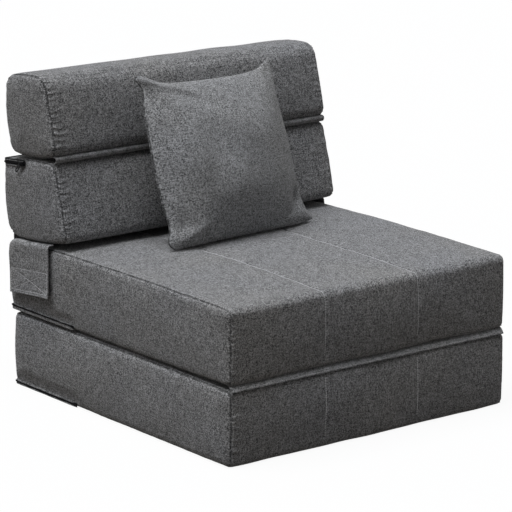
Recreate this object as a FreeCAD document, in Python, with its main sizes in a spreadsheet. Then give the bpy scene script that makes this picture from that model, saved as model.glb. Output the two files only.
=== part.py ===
import FreeCAD, Part
import math
import os
import Sketcher

Vector = FreeCAD.Vector
Placement = FreeCAD.Placement
Rotation = FreeCAD.Rotation

# Millimetres. X runs to the right as seen from the front, Y to the rear, Z up.
# The origin is the middle of the base block's underside, on the floor.
SIZES = [
    ("block_width", 700, "width of the four blocks over their side panels"),
    ("side_swell", 5, "how far a side panel swells out past its seam"),
    ("side_crease", 5, "band beside the seam where a side panel turns"),
    ("side_shoulder", 26, "band beside the seam where a side panel still curves"),
    ("cover_wall", 2, "thickness of the woven cover and its lining"),
    ("foam_gap", 0.5, "room between cover and foam core"),
    ("base_depth", 734, "base block, front edge to rear edge"),
    ("base_height", 154, "base block, floor to top edge"),
    ("layer_gap", 8, "gap between the base and seat blocks at their edges"),
    ("seat_depth", 743, "seat block, front edge to rear edge"),
    ("seat_height", 152, "seat block, bottom edge to top edge"),
    ("seat_rear_dip", 5, "how much lower the seat's rear top edge is pressed"),
    ("quilt_spacing", 234, "distance between the two quilting lines"),
    ("quilt_depth", 2.5, "depth of a quilting channel"),
    ("quilt_width", 14, "width of a quilting channel"),
    ("floor_cut", 0.5, "how deep the base block's swell is flat on the floor"),
    ("recline", 5.5, "lean of the two back blocks, degrees"),
    ("front_lean", 10, "extra lean of the back blocks' front faces, degrees"),
    ("rear_hinge_reach", 15, "rear hinge line behind the seat's rear edge"),
    ("rear_hinge_rise", 2, "rear hinge line above the seat's rear top edge"),
    ("back_set_in", 12, "lower back block's rear face in front of the hinge line"),
    ("lower_back_depth", 206, "lower back block, along its bottom face"),
    ("lower_back_height", 160, "lower back block, bottom face to top face"),
    ("upper_back_gap", 16, "gap between the two back blocks at their edges"),
    ("upper_back_step", 12, "upper back block's front edge ahead of the lower one's"),
    ("upper_back_depth", 160, "upper back block, along its bottom face"),
    ("upper_back_height", 150, "upper back block, bottom face to top face"),
    ("strip_wall", 2, "thickness of a hinge strip"),
    ("strip_length", 690, "length of a hinge strip"),
    ("front_strip_setback", 6, "front hinge strip behind the blocks' front edge"),
    ("front_strip_low", 0.4, "front hinge strip's lower edge below the base's top edge"),
    ("front_strip_tuck", 3, "front hinge strip sewn up into the seat's cover"),
    ("back_strip_setback", 9, "back hinge strip behind the lower back's top front edge"),
    ("back_strip_height", 19, "back hinge strip, lower edge to upper edge"),
    ("back_strip_clear", 2, "gap between back hinge strip and upper back block"),
    ("rear_strip_setback", 1.5, "rear hinge strip behind the seat's rear edge"),
    ("rear_strip_height", 42, "rear hinge strip, lower edge to upper edge"),
    ("rear_strip_drop", 26, "rear hinge strip's lower edge below the rear hinge line"),
    ("strap_width", 147, "side strap, front to rear"),
    ("strap_drop", 112, "side strap, below its hinge line"),
    ("strap_wall", 2.5, "thickness of the doubled strap fabric"),
    ("strap_bend", 4, "bend where a strap leaves the block's bottom side seam"),
    ("strap_root_rise", 0.4, "strap's sewn edge above the rear hinge line"),
    ("strap_stand_off", 5.15, "middle of the strap outside the side panel"),
    ("strap_rear_offset", 20, "strap's rear edge in front of the rear hinge line"),
    ("patch_height", 45, "hook and loop patches, top to bottom"),
    ("patch_margin", 10, "strap fabric beside its hook patch, front and rear"),
    ("patch_hem", 4, "strap fabric below its hook patch"),
    ("loop_lift", 0.1, "loop patch outside the side panel's middle"),
    ("loop_wall", 1.6, "thickness of a loop patch"),
    ("hook_wall", 1.6, "thickness of a hook patch"),
    ("patch_slack", 0.4, "gap between hook patch and loop patch"),
    ("tape_width", 12, "zipper tape, both halves"),
    ("tape_wall", 1.6, "thickness of the zipper tape"),
    ("tape_embed", 0.6, "how deep the zipper tape is sewn into a rear face"),
    ("tape_side_embed", 1, "how far the zipper tape stands out on a side face"),
    ("tape_inset", 6, "zipper's middle line inside the block's edge"),
    ("teeth_radius", 2, "radius of the closed zipper coil"),
    ("zipper_length", 640, "zipper along a block's rear face"),
    ("layer_side_zip", 225, "stretch of the base's and seat's zippers on the left side"),
    ("back_side_zip", 78, "stretch of the lower back's zipper on the left side"),
    ("upper_zip_rise", 12, "upper back's zipper above that block's bottom edge"),
    ("upper_zip_stand", 1.5, "upper back's zipper further out, on the swelling face"),
    ("slider_park", 300, "a hidden slider's place to the right of the middle"),
    ("side_slider_park", 68, "the lower back's slider ahead of its rear face"),
    ("slider_length", 13, "zipper slider along the coil"),
    ("slider_width", 9, "zipper slider across the coil"),
    ("slider_height", 4.6, "zipper slider above the tape"),
    ("slider_clear", 0.5, "play between slider and coil"),
    ("post_radius", 1.2, "post that carries the pull"),
    ("post_height", 3.2, "post above the slider"),
    ("post_root", 0.5, "post let into the slider"),
    ("head_rim", 1, "rim of the post's head around the post"),
    ("pull_length", 24, "zipper pull, eye to tip"),
    ("pull_width", 7, "width of the zipper pull"),
    ("pull_wall", 1.4, "thickness of the zipper pull"),
    ("pull_corner", 2, "cut corner of the zipper pull"),
    ("pull_play", 0.8, "gap between slider and pull"),
    ("slot_length", 8, "slot in the zipper pull, along it"),
    ("slot_width", 3.2, "slot in the zipper pull, across it"),
    ("slot_tip", 3, "slot in the zipper pull, from the tip"),
    ("pillow_width", 360, "filled pillow, tip to tip"),
    ("pillow_height", 352, "filled pillow, bottom edge to top edge"),
    ("pillow_thick", 150, "filled pillow through its middle"),
    ("pillow_edge", 6, "filled pillow at its top and bottom seams"),
    ("pillow_draw", 13, "how far the pillow's sides are drawn in at half height"),
    ("pillow_wall", 1.5, "thickness of the pillow's cover"),
    ("filling_gap", 0.4, "room between the pillow's cover and its filling"),
    ("pillow_lean", 21.5, "lean of the pillow, degrees"),
    ("pillow_turn", 4, "turn of the pillow about the vertical, degrees"),
    ("pillow_x", 12, "middle of the pillow's bottom edge, to the right"),
    ("pillow_y", 56, "middle of the pillow's bottom edge, to the rear"),
    ("pillow_z", 321, "middle of the pillow's bottom edge, above the floor"),
]

# Corner radii run rear bottom, front bottom, front top, rear top.
CORNER_RADII = {
    "base": (8, 14, 12, 8),
    "seat": (8, 12, 20, 20),
    "lower_back": (24, 18, 20, 8),
    "upper_back": (10, 18, 40, 26),
}
# Swells of the bottom, front, top and rear faces at the block's middle.
FACE_SWELLS = {
    "base": (0, 6, 4, 7),
    "seat": (3, 6, 8, 13),
    "lower_back": (7, 8, 6, 10),
    "upper_back": (6, 8, 5, 9),
}
QUILTED = ("base", "seat")

# Shares of the half width where a block's section changes, and of the swell left at its seams
SECTION_SHARES = (0, 0.3, 0.6, 0.85)
SEAM_SWELL_SHARE = 0.3
CREASE_SHARE = 0.6
LEAST_SWELL = 0.2
LEAST_RADIUS = 2.0

# Shares of the pillow's height where its section changes, and how round it fills between them
PILLOW_SHARES = (0, 0.03, 0.1, 0.2, 0.35, 0.5, 0.65, 0.8, 0.9, 0.97, 1)
PILLOW_ROUNDNESS = 0.62
PANEL_TAPER = 2

RIGHT_ANGLE = 90
PULL_HANGS = -90
PULL_LIES = 0
PULL_HANGS_BACK = 45
BEYOND = 1000


def make_sheet(doc):
    """Spreadsheet of the driving dimensions, one row each: name, value, meaning."""
    sheet = doc.addObject("Spreadsheet::Sheet", "Sizes")
    for row, (alias, value, meaning) in enumerate(SIZES, start=1):
        sheet.set("A%d" % row, alias)
        sheet.set("B%d" % row, str(value))
        sheet.set("C%d" % row, meaning)
        sheet.setAlias("B%d" % row, alias)
    doc.recompute()
    return sheet


doc = FreeCAD.newDocument("chair_bed")
sheet = make_sheet(doc)
nodes = []


def size(alias):
    """Value of one driving dimension."""
    return float(getattr(sheet, alias))


def keep(feature, label, place=None):
    """Name a finished piece and list it for export."""
    feature.Label = label
    if place is not None:
        feature.Placement = place
    nodes.append(feature)
    return feature


def plain_feature(name, shape):
    """Piece or helper whose shape is built from lofts."""
    feature = doc.addObject("Part::Feature", name)
    feature.Shape = shape
    return feature


def bound_box(name, length, width, height, corner=None):
    """Box with its three sizes bound to the sheet and its low corner at a point."""
    box = doc.addObject("Part::Box", name)
    box.setExpression("Length", length)
    box.setExpression("Width", width)
    box.setExpression("Height", height)
    if corner is not None:
        box.Placement = Placement(corner, Rotation())
    return box


# Sections of the crowned blocks: rounded four-sided outlines in planes of constant X


def across(along):
    """Outward direction beside a side that runs in direction along."""
    return Vector(0, -along.z, along.y)


def crossing(point_a, along_a, point_b, along_b):
    """Point where two lines in a YZ plane cross."""
    turn = along_a.y * along_b.z - along_a.z * along_b.y
    gap = point_b - point_a
    reach = (gap.y * along_b.z - gap.z * along_b.y) / turn
    return point_a + along_a * reach


def inset_outline(corners, inset):
    """Corners of the outline whose sides lie further in by inset."""
    lines = []
    for index, corner in enumerate(corners):
        along = (corners[(index + 1) % len(corners)] - corner).normalize()
        lines.append((corner - across(along) * inset, along))
    return [crossing(*lines[index - 1], *lines[index]) for index in range(len(lines))]


def half_turn_of(swell, chord):
    """Angle between a swelling side and its chord, radians."""
    return 2 * math.atan(2 * swell / chord)


def section_wire(x, corners, radii, swells):
    """Closed wire of four swelling sides and four round corners."""
    count = len(corners)
    moved = [Vector(x, corner.y, corner.z) for corner in corners]
    sides = []
    for index, corner in enumerate(moved):
        following = moved[(index + 1) % count]
        along = (following - corner).normalize()
        start = corner + along * radii[index]
        end = following - along * radii[(index + 1) % count]
        swell = max(swells[index], LEAST_SWELL)
        sides.append((start, end, along, swell, half_turn_of(swell, start.distanceToPoint(end))))
    edges = []
    for index, (start, end, along, swell, half_turn) in enumerate(sides):
        middle = (start + end) * 0.5 + across(along) * swell
        edges.append(Part.Arc(start, middle, end).toShape())
        next_start, _, next_along, _, next_half_turn = sides[(index + 1) % count]
        chord = next_start - end
        turn = along.getAngle(next_along) - half_turn - next_half_turn
        rise = chord.Length / 2 * math.tan(turn / 4)
        middle = (end + next_start) * 0.5 + across(chord.normalize()) * rise
        edges.append(Part.Arc(end, middle, next_start).toShape())
    return Part.Wire(edges)


class Block:
    """One upholstered block: foam core inside a wrap and two side panels."""

    def __init__(self, name, corners, place=None):
        self.name = name
        self.corners = [Vector(0, y, z) for y, z in corners]
        self.radii = CORNER_RADII[name]
        self.swells = FACE_SWELLS[name]
        self.quilted = name in QUILTED
        self.place = place or Placement()

    def stations(self):
        """X of each section with the inset and share of swell that it has there."""
        half = size("block_width") / 2
        seam = half - size("side_swell")
        crease = seam + size("side_swell") * CREASE_SHARE
        panel = [(seam, 0, 0.0), (crease, size("side_crease"), 0.0), (half, size("side_shoulder"), 0.0)]
        inner = [seam * share for share in SECTION_SHARES]
        line = size("quilt_spacing") / 2
        if self.quilted:
            lip = size("quilt_width") / 2
            inner = [0, line - lip, line, line + lip] + inner[2:]
        right = []
        for x in inner:
            inset = size("quilt_depth") if self.quilted and x == line else 0
            right.append((x, inset, 1 - (x / seam) ** 2))
        right += panel
        left = [(-x, inset, share) for x, inset, share in reversed(right) if x > 0]
        return left + right

    def solid(self, depth_in):
        """Crowned solid whose surface lies depth_in inside the cover's outer face."""
        seam = size("block_width") / 2 - size("side_swell")
        radii = [max(radius - depth_in, LEAST_RADIUS) for radius in self.radii]
        wires = []
        for x, inset, share in self.stations():
            if abs(x) >= seam:
                x -= math.copysign(depth_in, x)
            full = SEAM_SWELL_SHARE + (1 - SEAM_SWELL_SHARE) * share
            outline = inset_outline(self.corners, inset + depth_in)
            wires.append(section_wire(x, outline, radii, [swell * full for swell in self.swells]))
        return Part.makeLoft(wires, True, True)

    def build(self):
        """Make the block's foam core, cover wrap and two side panels."""
        wall = size("cover_wall")
        outer = self.solid(0)
        cavity = self.solid(wall)
        core = self.solid(wall + size("foam_gap"))
        if self.name == "base":
            outer, cavity, core = stand_flat(outer, cavity, core)
        core_name = self.name + "_foam_core"
        keep(plain_feature(core_name, core), core_name, self.place)
        shell = doc.addObject("Part::Cut", self.name + "_cover_shell")
        shell.Base = plain_feature(self.name + "_cover_outside", outer)
        shell.Tool = plain_feature(self.name + "_cover_inside", cavity)
        half = size("block_width") / 2
        swell = size("side_swell")
        spans = {
            "cover_wrap": ("Sizes.block_width - 2 * Sizes.side_swell", swell - half),
            "cover_left_panel": ("2 * Sizes.side_swell", -half - swell),
            "cover_right_panel": ("2 * Sizes.side_swell", half - swell),
        }
        for part_name, (length, start_x) in spans.items():
            node = self.name + "_" + part_name
            corner = Vector(start_x, -BEYOND, -BEYOND)
            span = bound_box(node + "_span", length, str(2 * BEYOND), str(2 * BEYOND), corner)
            piece = doc.addObject("Part::Common", node)
            piece.Base = shell
            piece.Tool = span
            keep(piece, node, self.place)


def stand_flat(outer, cavity, core):
    """Cut the base block's swollen underside flat on the floor, wall and foam above it."""
    wall = size("cover_wall")
    levels = (0, wall, wall + size("foam_gap"))
    cut = []
    for solid, level in zip((outer, cavity, core), levels):
        above = Part.makeBox(2 * BEYOND, 2 * BEYOND, BEYOND, Vector(-BEYOND, -BEYOND, level))
        cut.append(solid.common(above))
    return cut


# Frames: the back blocks are drawn about the rear hinge line and then leaned back


def seat_bottom():
    """Height of the seat block's bottom edges."""
    return size("base_height") + size("layer_gap")


def seat_rear():
    """Y of the seat block's rear edges."""
    return -size("base_depth") / 2 + size("seat_depth")


def rear_hinge():
    """Point on the rear hinge line."""
    top = seat_bottom() + size("seat_height") - size("seat_rear_dip")
    return Vector(0, seat_rear() + size("rear_hinge_reach"), top + size("rear_hinge_rise"))


def back_frame():
    """Placement of the back blocks, leaned back about the rear hinge line."""
    return Placement(rear_hinge(), Rotation(Vector(1, 0, 0), -size("recline")))


def lean_shift(height):
    """How far a back block's front face leans back over a height."""
    return height * math.tan(math.radians(size("front_lean")))


def base_block():
    """Bottom layer, flat on the floor, which flips out to the front."""
    half = size("base_depth") / 2
    low = -size("floor_cut")
    high = size("base_height")
    return Block("base", [(half, low), (-half, low), (-half, high), (half, high)])


def seat_block():
    """Second layer, whose top is the seat."""
    front = -size("base_depth") / 2
    low = seat_bottom()
    high = low + size("seat_height")
    pressed = high - size("seat_rear_dip")
    return Block("seat", [(seat_rear(), low), (front, low), (front, high), (seat_rear(), pressed)])


def lower_back_rear():
    """Y of the lower back block's rear face, in the back frame."""
    return -size("back_set_in")


def lower_back_top():
    """Top edge of the lower back block, in the back frame."""
    return size("rear_hinge_rise") + size("lower_back_height")


def lower_back_block():
    """Back block that stands on the seat's rear and folds down behind it."""
    rear = lower_back_rear()
    front = rear - size("lower_back_depth")
    low = size("rear_hinge_rise")
    high = lower_back_top()
    corners = [(rear, low), (front, low), (front + lean_shift(high - low), high), (rear, high)]
    return Block("lower_back", corners, back_frame())


def lower_back_front_top():
    """Y of the lower back block's top front edge, in the back frame."""
    return lower_back_rear() - size("lower_back_depth") + lean_shift(size("lower_back_height"))


def upper_back_low():
    """Bottom edge of the upper back block, in the back frame."""
    return lower_back_top() + size("upper_back_gap")


def upper_back_rear():
    """Y of the upper back block's rear face, in the back frame."""
    return lower_back_front_top() - size("upper_back_step") + size("upper_back_depth")


def upper_back_block():
    """Topmost block, with a well rounded top front edge."""
    rear = upper_back_rear()
    front = rear - size("upper_back_depth")
    low = upper_back_low()
    high = low + size("upper_back_height")
    corners = [(rear, low), (front, low), (front + lean_shift(high - low), high), (rear, high)]
    return Block("upper_back", corners, back_frame())


# Fabric strips that hinge one block on the next


def hinge_strip(name, y, low, height, place=None):
    """Flat woven strip of the full width, its front face at y."""
    strip = bound_box(name, "Sizes.strip_length", "Sizes.strip_wall", height)
    local = Placement(Vector(-size("strip_length") / 2, y, low), Rotation())
    keep(strip, name, place.multiply(local) if place else local)


def hinge_strips():
    """Strips at the front, between the back blocks, and at the rear."""
    front = -size("base_depth") / 2 + size("front_strip_setback")
    hinge_strip("front_hinge_strip", front, size("base_height") - size("front_strip_low"),
                "Sizes.layer_gap + Sizes.front_strip_low + Sizes.front_strip_tuck")
    low = upper_back_low() - size("back_strip_clear") - size("back_strip_height")
    hinge_strip("back_hinge_strip", lower_back_front_top() + size("back_strip_setback"), low,
                "Sizes.back_strip_height", back_frame())
    hinge_strip("rear_hinge_strip", seat_rear() + size("rear_strip_setback"),
                rear_hinge().z - size("rear_strip_drop"), "Sizes.rear_strip_height")


# Side straps with their hook and loop patches


def sketch_on(body, role, name):
    """Sketch on one of the body's own origin planes."""
    plane = [item for item in body.Origin.OriginFeatures if item.Role == role][0]
    sketch = body.newObject("Sketcher::SketchObject", name)
    sketch.AttachmentSupport = (plane, "")
    sketch.MapMode = "FlatFace"
    return sketch


def closed_lines(sketch, points):
    """Closed outline of straight lines through points of the sketch."""
    first = sketch.GeometryCount
    ends = points[1:] + points[:1]
    for start, end in zip(points, ends):
        sketch.addGeometry(Part.LineSegment(Vector(*start, 0), Vector(*end, 0)), False)
    for index in range(len(points)):
        following = first + (index + 1) % len(points)
        sketch.addConstraint(Sketcher.Constraint("Coincident", first + index, 2, following, 1))


def bound_circle(sketch, radius_rule):
    """Circle about a sketch's middle, its radius bound to the sheet."""
    index = sketch.addGeometry(Part.Circle(Vector(0, 0, 0), Vector(0, 0, 1), 1), False)
    sketch.addConstraint(Sketcher.Constraint("Radius", index, 1))
    sketch.setExpression("Constraints[%d]" % (sketch.ConstraintCount - 1), radius_rule)


def pad(body, sketch, name, length_rule, midplane=False):
    """Pad of a sketch, its length bound to the sheet."""
    feature = body.newObject("PartDesign::Pad", name)
    feature.Profile = sketch
    feature.Midplane = midplane
    feature.setExpression("Length", length_rule)
    sketch.Visibility = False
    return feature


def strap_flap(side_name, sign):
    """Strap in the back frame: sewn under the block, bent out over the seat's edge and down."""
    body = doc.addObject("PartDesign::Body", side_name + "_strap_flap")
    sketch = sketch_on(body, "XZ_Plane", side_name + "_strap_profile")
    wall = size("strap_wall")
    outer = size("block_width") / 2 + size("strap_stand_off") + wall / 2
    inner = outer - wall
    bend = size("strap_bend")
    top = size("strap_root_rise")
    drop = -size("strap_drop")
    profile = [
        (inner - bend, top),
        (inner - bend, top - wall),
        (inner - bend / 2, top - wall),
        (inner, -wall - bend / 2),
        (inner, drop),
        (outer, drop),
        (outer, -bend / 2),
        (outer - bend / 2, top),
    ]
    closed_lines(sketch, [(sign * x, z) for x, z in profile])
    pad(body, sketch, side_name + "_strap_pad", "Sizes.strap_width")
    local = Placement(Vector(0, -size("strap_rear_offset"), 0), Rotation())
    keep(body, side_name + "_strap_flap", back_frame().multiply(local))


def patch(name, sign, inner_x, wall_alias):
    """Rectangular hook or loop patch, standing on the side, in the back frame."""
    length = "Sizes.strap_width - 2 * Sizes.patch_margin"
    box = bound_box(name, "Sizes." + wall_alias, length, "Sizes.patch_height")
    x = inner_x if sign > 0 else -inner_x - size(wall_alias)
    front = -size("strap_rear_offset") - size("strap_width") + size("patch_margin")
    local = Placement(Vector(x, front, size("patch_hem") - size("strap_drop")), Rotation())
    keep(box, name, back_frame().multiply(local))


def straps():
    """Both side straps: flap, hook patch under it, and loop patch on the seat."""
    loop_x = size("block_width") / 2 + size("loop_lift")
    hook_x = loop_x + size("loop_wall") + size("patch_slack")
    for side_name, sign in (("left", -1), ("right", 1)):
        strap_flap(side_name, sign)
        patch(side_name + "_strap_hook_patch", sign, hook_x, "hook_wall")
        patch(side_name + "_seat_loop_patch", sign, loop_x, "loop_wall")


# Zippers: tape and coil along a block's rear edge, slider and pull


def coil_run(name, length, start, turn):
    """Closed coil along a straight stretch that starts at a point."""
    coil = doc.addObject("Part::Cylinder", name)
    coil.setExpression("Radius", "Sizes.teeth_radius")
    coil.setExpression("Height", length)
    coil.Placement = Placement(start, turn)
    return coil


def joined(name, first, second):
    """One solid of two that meet at the block's corner."""
    fuse = doc.addObject("Part::Fuse", name)
    fuse.Base = first
    fuse.Tool = second
    return fuse


def side_coil_x():
    """X of the coil on a block's left side."""
    crease = size("block_width") / 2 - size("side_swell") * (1 - CREASE_SHARE)
    return -crease - size("tape_side_embed")


def zipper_run(name, block, rear, height, side_rule):
    """Tape and closed coil along the rear face, and on the left side where side_rule is given."""
    tape_low = height - size("tape_width") / 2
    tape_rear = rear - size("tape_embed")
    face = tape_rear + size("tape_wall")
    start_x = side_coil_x() if side_rule else -size("zipper_length") / 2
    run = "Sizes.zipper_length / 2 + %s" % -start_x
    tape = bound_box(name + "_tape_rear", run, "Sizes.tape_wall", "Sizes.tape_width",
                     Vector(start_x, tape_rear, tape_low))
    coil = coil_run(name + "_coil_rear", run, Vector(start_x, face, height),
                    Rotation(Vector(0, 1, 0), RIGHT_ANGLE))
    if side_rule:
        side_front = face - size(side_rule)
        side_tape = bound_box(name + "_tape_side", "Sizes.tape_wall", "Sizes." + side_rule,
                              "Sizes.tape_width", Vector(start_x, side_front, tape_low))
        side_coil = coil_run(name + "_coil_side", "Sizes." + side_rule, Vector(start_x, face, height),
                             Rotation(Vector(1, 0, 0), RIGHT_ANGLE))
        tape = joined(name + "_tape_run", tape, side_tape)
        coil = joined(name + "_coil_run", coil, side_coil)
    keep(tape, name + "_tape", block.place.multiply(tape.Placement))
    keep(coil, name + "_teeth", block.place.multiply(coil.Placement))
    return face


def slider(name, place):
    """Zipper slider: X along the coil, Z outwards, straddling the coil, with a headed post."""
    body = doc.addObject("PartDesign::Body", name)
    sketch = sketch_on(body, "YZ_Plane", name + "_profile")
    half = size("slider_width") / 2
    groove = size("teeth_radius") + size("slider_clear")
    low = size("slider_clear")
    high = size("slider_height")
    closed_lines(sketch, [(-half, low), (-groove, low), (-groove, groove), (groove, groove),
                          (groove, low), (half, low), (half, high), (-half, high)])
    pad(body, sketch, name + "_shell", "Sizes.slider_length", midplane=True)
    post = sketch_on(body, "XY_Plane", name + "_post_circle")
    post.AttachmentOffset = Placement(Vector(0, 0, high - size("post_root")), Rotation())
    bound_circle(post, "Sizes.post_radius")
    pad(body, post, name + "_post", "Sizes.post_height + Sizes.post_root")
    head = sketch_on(body, "XY_Plane", name + "_head_circle")
    head.AttachmentOffset = Placement(Vector(0, 0, high + size("post_height")), Rotation())
    bound_circle(head, "Sizes.post_radius + Sizes.head_rim")
    pad(body, head, name + "_head", "Sizes.post_radius")
    keep(body, name, place)


def pull(name, place):
    """Flat pull with an eye about the post and a slot near its tip; it points along X."""
    body = doc.addObject("PartDesign::Body", name)
    sketch = sketch_on(body, "XY_Plane", name + "_outline")
    half = size("pull_width") / 2
    tip = size("pull_length")
    cut = size("pull_corner")
    closed_lines(sketch, [(-half, -half + cut), (-half + cut, -half), (tip - cut, -half),
                          (tip, -half + cut), (tip, half - cut), (tip - cut, half),
                          (-half + cut, half), (-half, half - cut)])
    bound_circle(sketch, "Sizes.post_radius + Sizes.slider_clear")
    slot = size("slot_width") / 2
    slot_end = tip - size("slot_tip")
    slot_start = slot_end - size("slot_length")
    closed_lines(sketch, [(slot_start, -slot), (slot_end, -slot), (slot_end, slot), (slot_start, slot)])
    pad(body, sketch, name + "_plate", "Sizes.pull_wall")
    keep(body, name, place)


def rear_zipper(block, rear, height, side_rule=None, swing=PULL_HANGS):
    """Zipper of one block whose slider is parked near the rear face's right end."""
    name = block.name + "_zipper"
    face = zipper_run(name, block, rear, height, side_rule)
    outward = Rotation(Vector(-1, 0, 0), Vector(0, 0, 1), Vector(0, 1, 0), "ZXY")
    spot = Placement(Vector(size("slider_park"), face, height), outward)
    slider_and_pull(name, block.place.multiply(spot), swing)


def side_zipper(block, rear, height, side_rule):
    """Zipper of one block whose slider is parked on the left side."""
    name = block.name + "_zipper"
    face = zipper_run(name, block, rear, height, side_rule)
    outward = Rotation(Vector(0, 1, 0), Vector(0, 0, -1), Vector(-1, 0, 0), "ZXY")
    spot = Placement(Vector(side_coil_x(), face - size("side_slider_park"), height), outward)
    slider_and_pull(name, block.place.multiply(spot), PULL_HANGS_BACK)


def slider_and_pull(name, place, swing):
    """Slider at a place on the coil, and its pull turned by swing."""
    slider(name + "_slider", place)
    lift = size("slider_height") + size("pull_play")
    turned = Placement(Vector(0, 0, lift), Rotation(Vector(0, 0, 1), swing))
    pull(name + "_pull", place.multiply(turned))


def zippers(base, seat, lower_back, upper_back):
    """The four blocks' zippers."""
    inset = size("tape_inset")
    rear_zipper(base, size("base_depth") / 2, inset, "layer_side_zip", PULL_LIES)
    rear_zipper(seat, seat_rear(), seat_bottom() + inset, "layer_side_zip")
    side_zipper(lower_back, lower_back_rear(), lower_back_top() - inset, "back_side_zip")
    upper_rear = upper_back_rear() + size("upper_zip_stand")
    rear_zipper(upper_back, upper_rear, upper_back_low() + size("upper_zip_rise"))


# Scatter pillow


def lens_wire(height, width, thick):
    """Horizontal section of the pillow: two arcs that meet at the side seams."""
    left = Vector(-width / 2, 0, height)
    right = Vector(width / 2, 0, height)
    front = Part.Arc(left, Vector(0, -thick / 2, height), right).toShape()
    back = Part.Arc(right, Vector(0, thick / 2, height), left).toShape()
    return Part.Wire([front, back])


def pillow_solid(depth_in):
    """Knife-edge pillow with drawn-in sides, its surface depth_in inside the cover."""
    edge = size("pillow_edge")
    wires = []
    for share in PILLOW_SHARES:
        bow = math.sin(math.pi * share)
        width = size("pillow_width") - 2 * size("pillow_draw") * bow - 2 * PANEL_TAPER * depth_in
        thick = edge + (size("pillow_thick") - edge) * bow ** PILLOW_ROUNDNESS - 2 * depth_in
        height = depth_in + (size("pillow_height") - 2 * depth_in) * share
        wires.append(lens_wire(height, width, thick))
    return Part.makeLoft(wires, True, True)


def pillow():
    """Filling and the two cover panels that meet in the edge seam."""
    turn = Rotation(Vector(0, 0, 1), size("pillow_turn"))
    lean = Rotation(Vector(1, 0, 0), -size("pillow_lean"))
    foot = Vector(size("pillow_x"), size("pillow_y"), size("pillow_z"))
    place = Placement(foot, turn.multiply(lean))
    wall = size("pillow_wall")
    filling = pillow_solid(wall + size("filling_gap"))
    keep(plain_feature("pillow_filling", filling), "pillow_filling", place)
    shell = doc.addObject("Part::Cut", "pillow_shell")
    shell.Base = plain_feature("pillow_outside", pillow_solid(0))
    shell.Tool = plain_feature("pillow_inside", pillow_solid(wall))
    for panel, start_y in (("front", -BEYOND), ("back", 0)):
        node = "pillow_%s_panel" % panel
        span = bound_box(node + "_span", str(2 * BEYOND), str(BEYOND), str(2 * BEYOND),
                         Vector(-BEYOND, start_y, -BEYOND))
        piece = doc.addObject("Part::Common", node)
        piece.Base = shell
        piece.Tool = span
        keep(piece, node, place)


def build():
    """Make every piece of the chair bed."""
    blocks = [base_block(), seat_block(), lower_back_block(), upper_back_block()]
    for block in blocks:
        block.build()
    hinge_strips()
    straps()
    zippers(*blocks)
    pillow()


def export():
    """Recompute, refuse anything broken, and write one STEP file per piece."""
    doc.recompute()
    for item in doc.Objects:
        state = set(item.State)
        if state & {"Invalid", "Error"}:
            raise RuntimeError("%s failed: %s" % (item.Name, sorted(state)))
    os.makedirs("parts", exist_ok=True)
    for node in nodes:
        shape = node.Shape
        if shape.isNull() or not shape.isValid() or shape.Volume <= 0:
            raise RuntimeError("%s has no valid shape" % node.Label)
        box = shape.BoundBox
        print("%-28s solids %d volume %9.1f cm3  x %.1f..%.1f y %.1f..%.1f z %.1f..%.1f" % (
            node.Label, len(shape.Solids), shape.Volume / 1000,
            box.XMin, box.XMax, box.YMin, box.YMax, box.ZMin, box.ZMax))
        shape.exportStep("parts/%s.step" % node.Label)


build()
export()
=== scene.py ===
"""Convertible foam chair bed: four upholstered blocks, hinge strips, straps, zippers and a loose pillow."""

import logging
import math
from contextlib import contextmanager
from dataclasses import dataclass, field
from enum import Enum
from typing import Any, Iterable, Iterator, Sequence

import bpy
import numpy as np
from mathutils import Matrix, Vector


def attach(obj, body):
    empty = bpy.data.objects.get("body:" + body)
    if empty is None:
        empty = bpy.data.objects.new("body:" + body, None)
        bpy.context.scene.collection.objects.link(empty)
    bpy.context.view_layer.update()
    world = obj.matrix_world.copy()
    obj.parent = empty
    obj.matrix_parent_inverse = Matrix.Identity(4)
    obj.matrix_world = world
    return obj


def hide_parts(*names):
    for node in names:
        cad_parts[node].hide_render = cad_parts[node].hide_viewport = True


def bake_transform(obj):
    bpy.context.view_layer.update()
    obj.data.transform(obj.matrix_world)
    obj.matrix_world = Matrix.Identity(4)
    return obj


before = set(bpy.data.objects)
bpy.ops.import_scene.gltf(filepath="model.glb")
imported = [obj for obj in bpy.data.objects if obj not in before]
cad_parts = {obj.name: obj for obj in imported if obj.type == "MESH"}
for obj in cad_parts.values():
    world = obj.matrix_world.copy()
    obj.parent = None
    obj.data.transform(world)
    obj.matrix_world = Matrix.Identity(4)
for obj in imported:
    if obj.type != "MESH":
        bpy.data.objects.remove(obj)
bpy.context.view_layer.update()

LOG = logging.getLogger("chair_bed")
MM = 0.001
TURN = 2 * math.pi
HALF_SEAM = 0.345
CLOTH_WALL = 0.0016
FLOOR_GAP = 0.0002
RUN_MAP = "cloth_run"
# Distance to the nearest seam, from which the cloth paints shade in the seam creases and a highlight beside
# them.
SEAM_GAP = "seam_gap"
Array = np.ndarray
Pair = tuple[float, float]
Tone = tuple[float, float, float]
Cells = tuple[int, int, int]
Faces = list[tuple[int, ...]]


# Shader nodes


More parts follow.
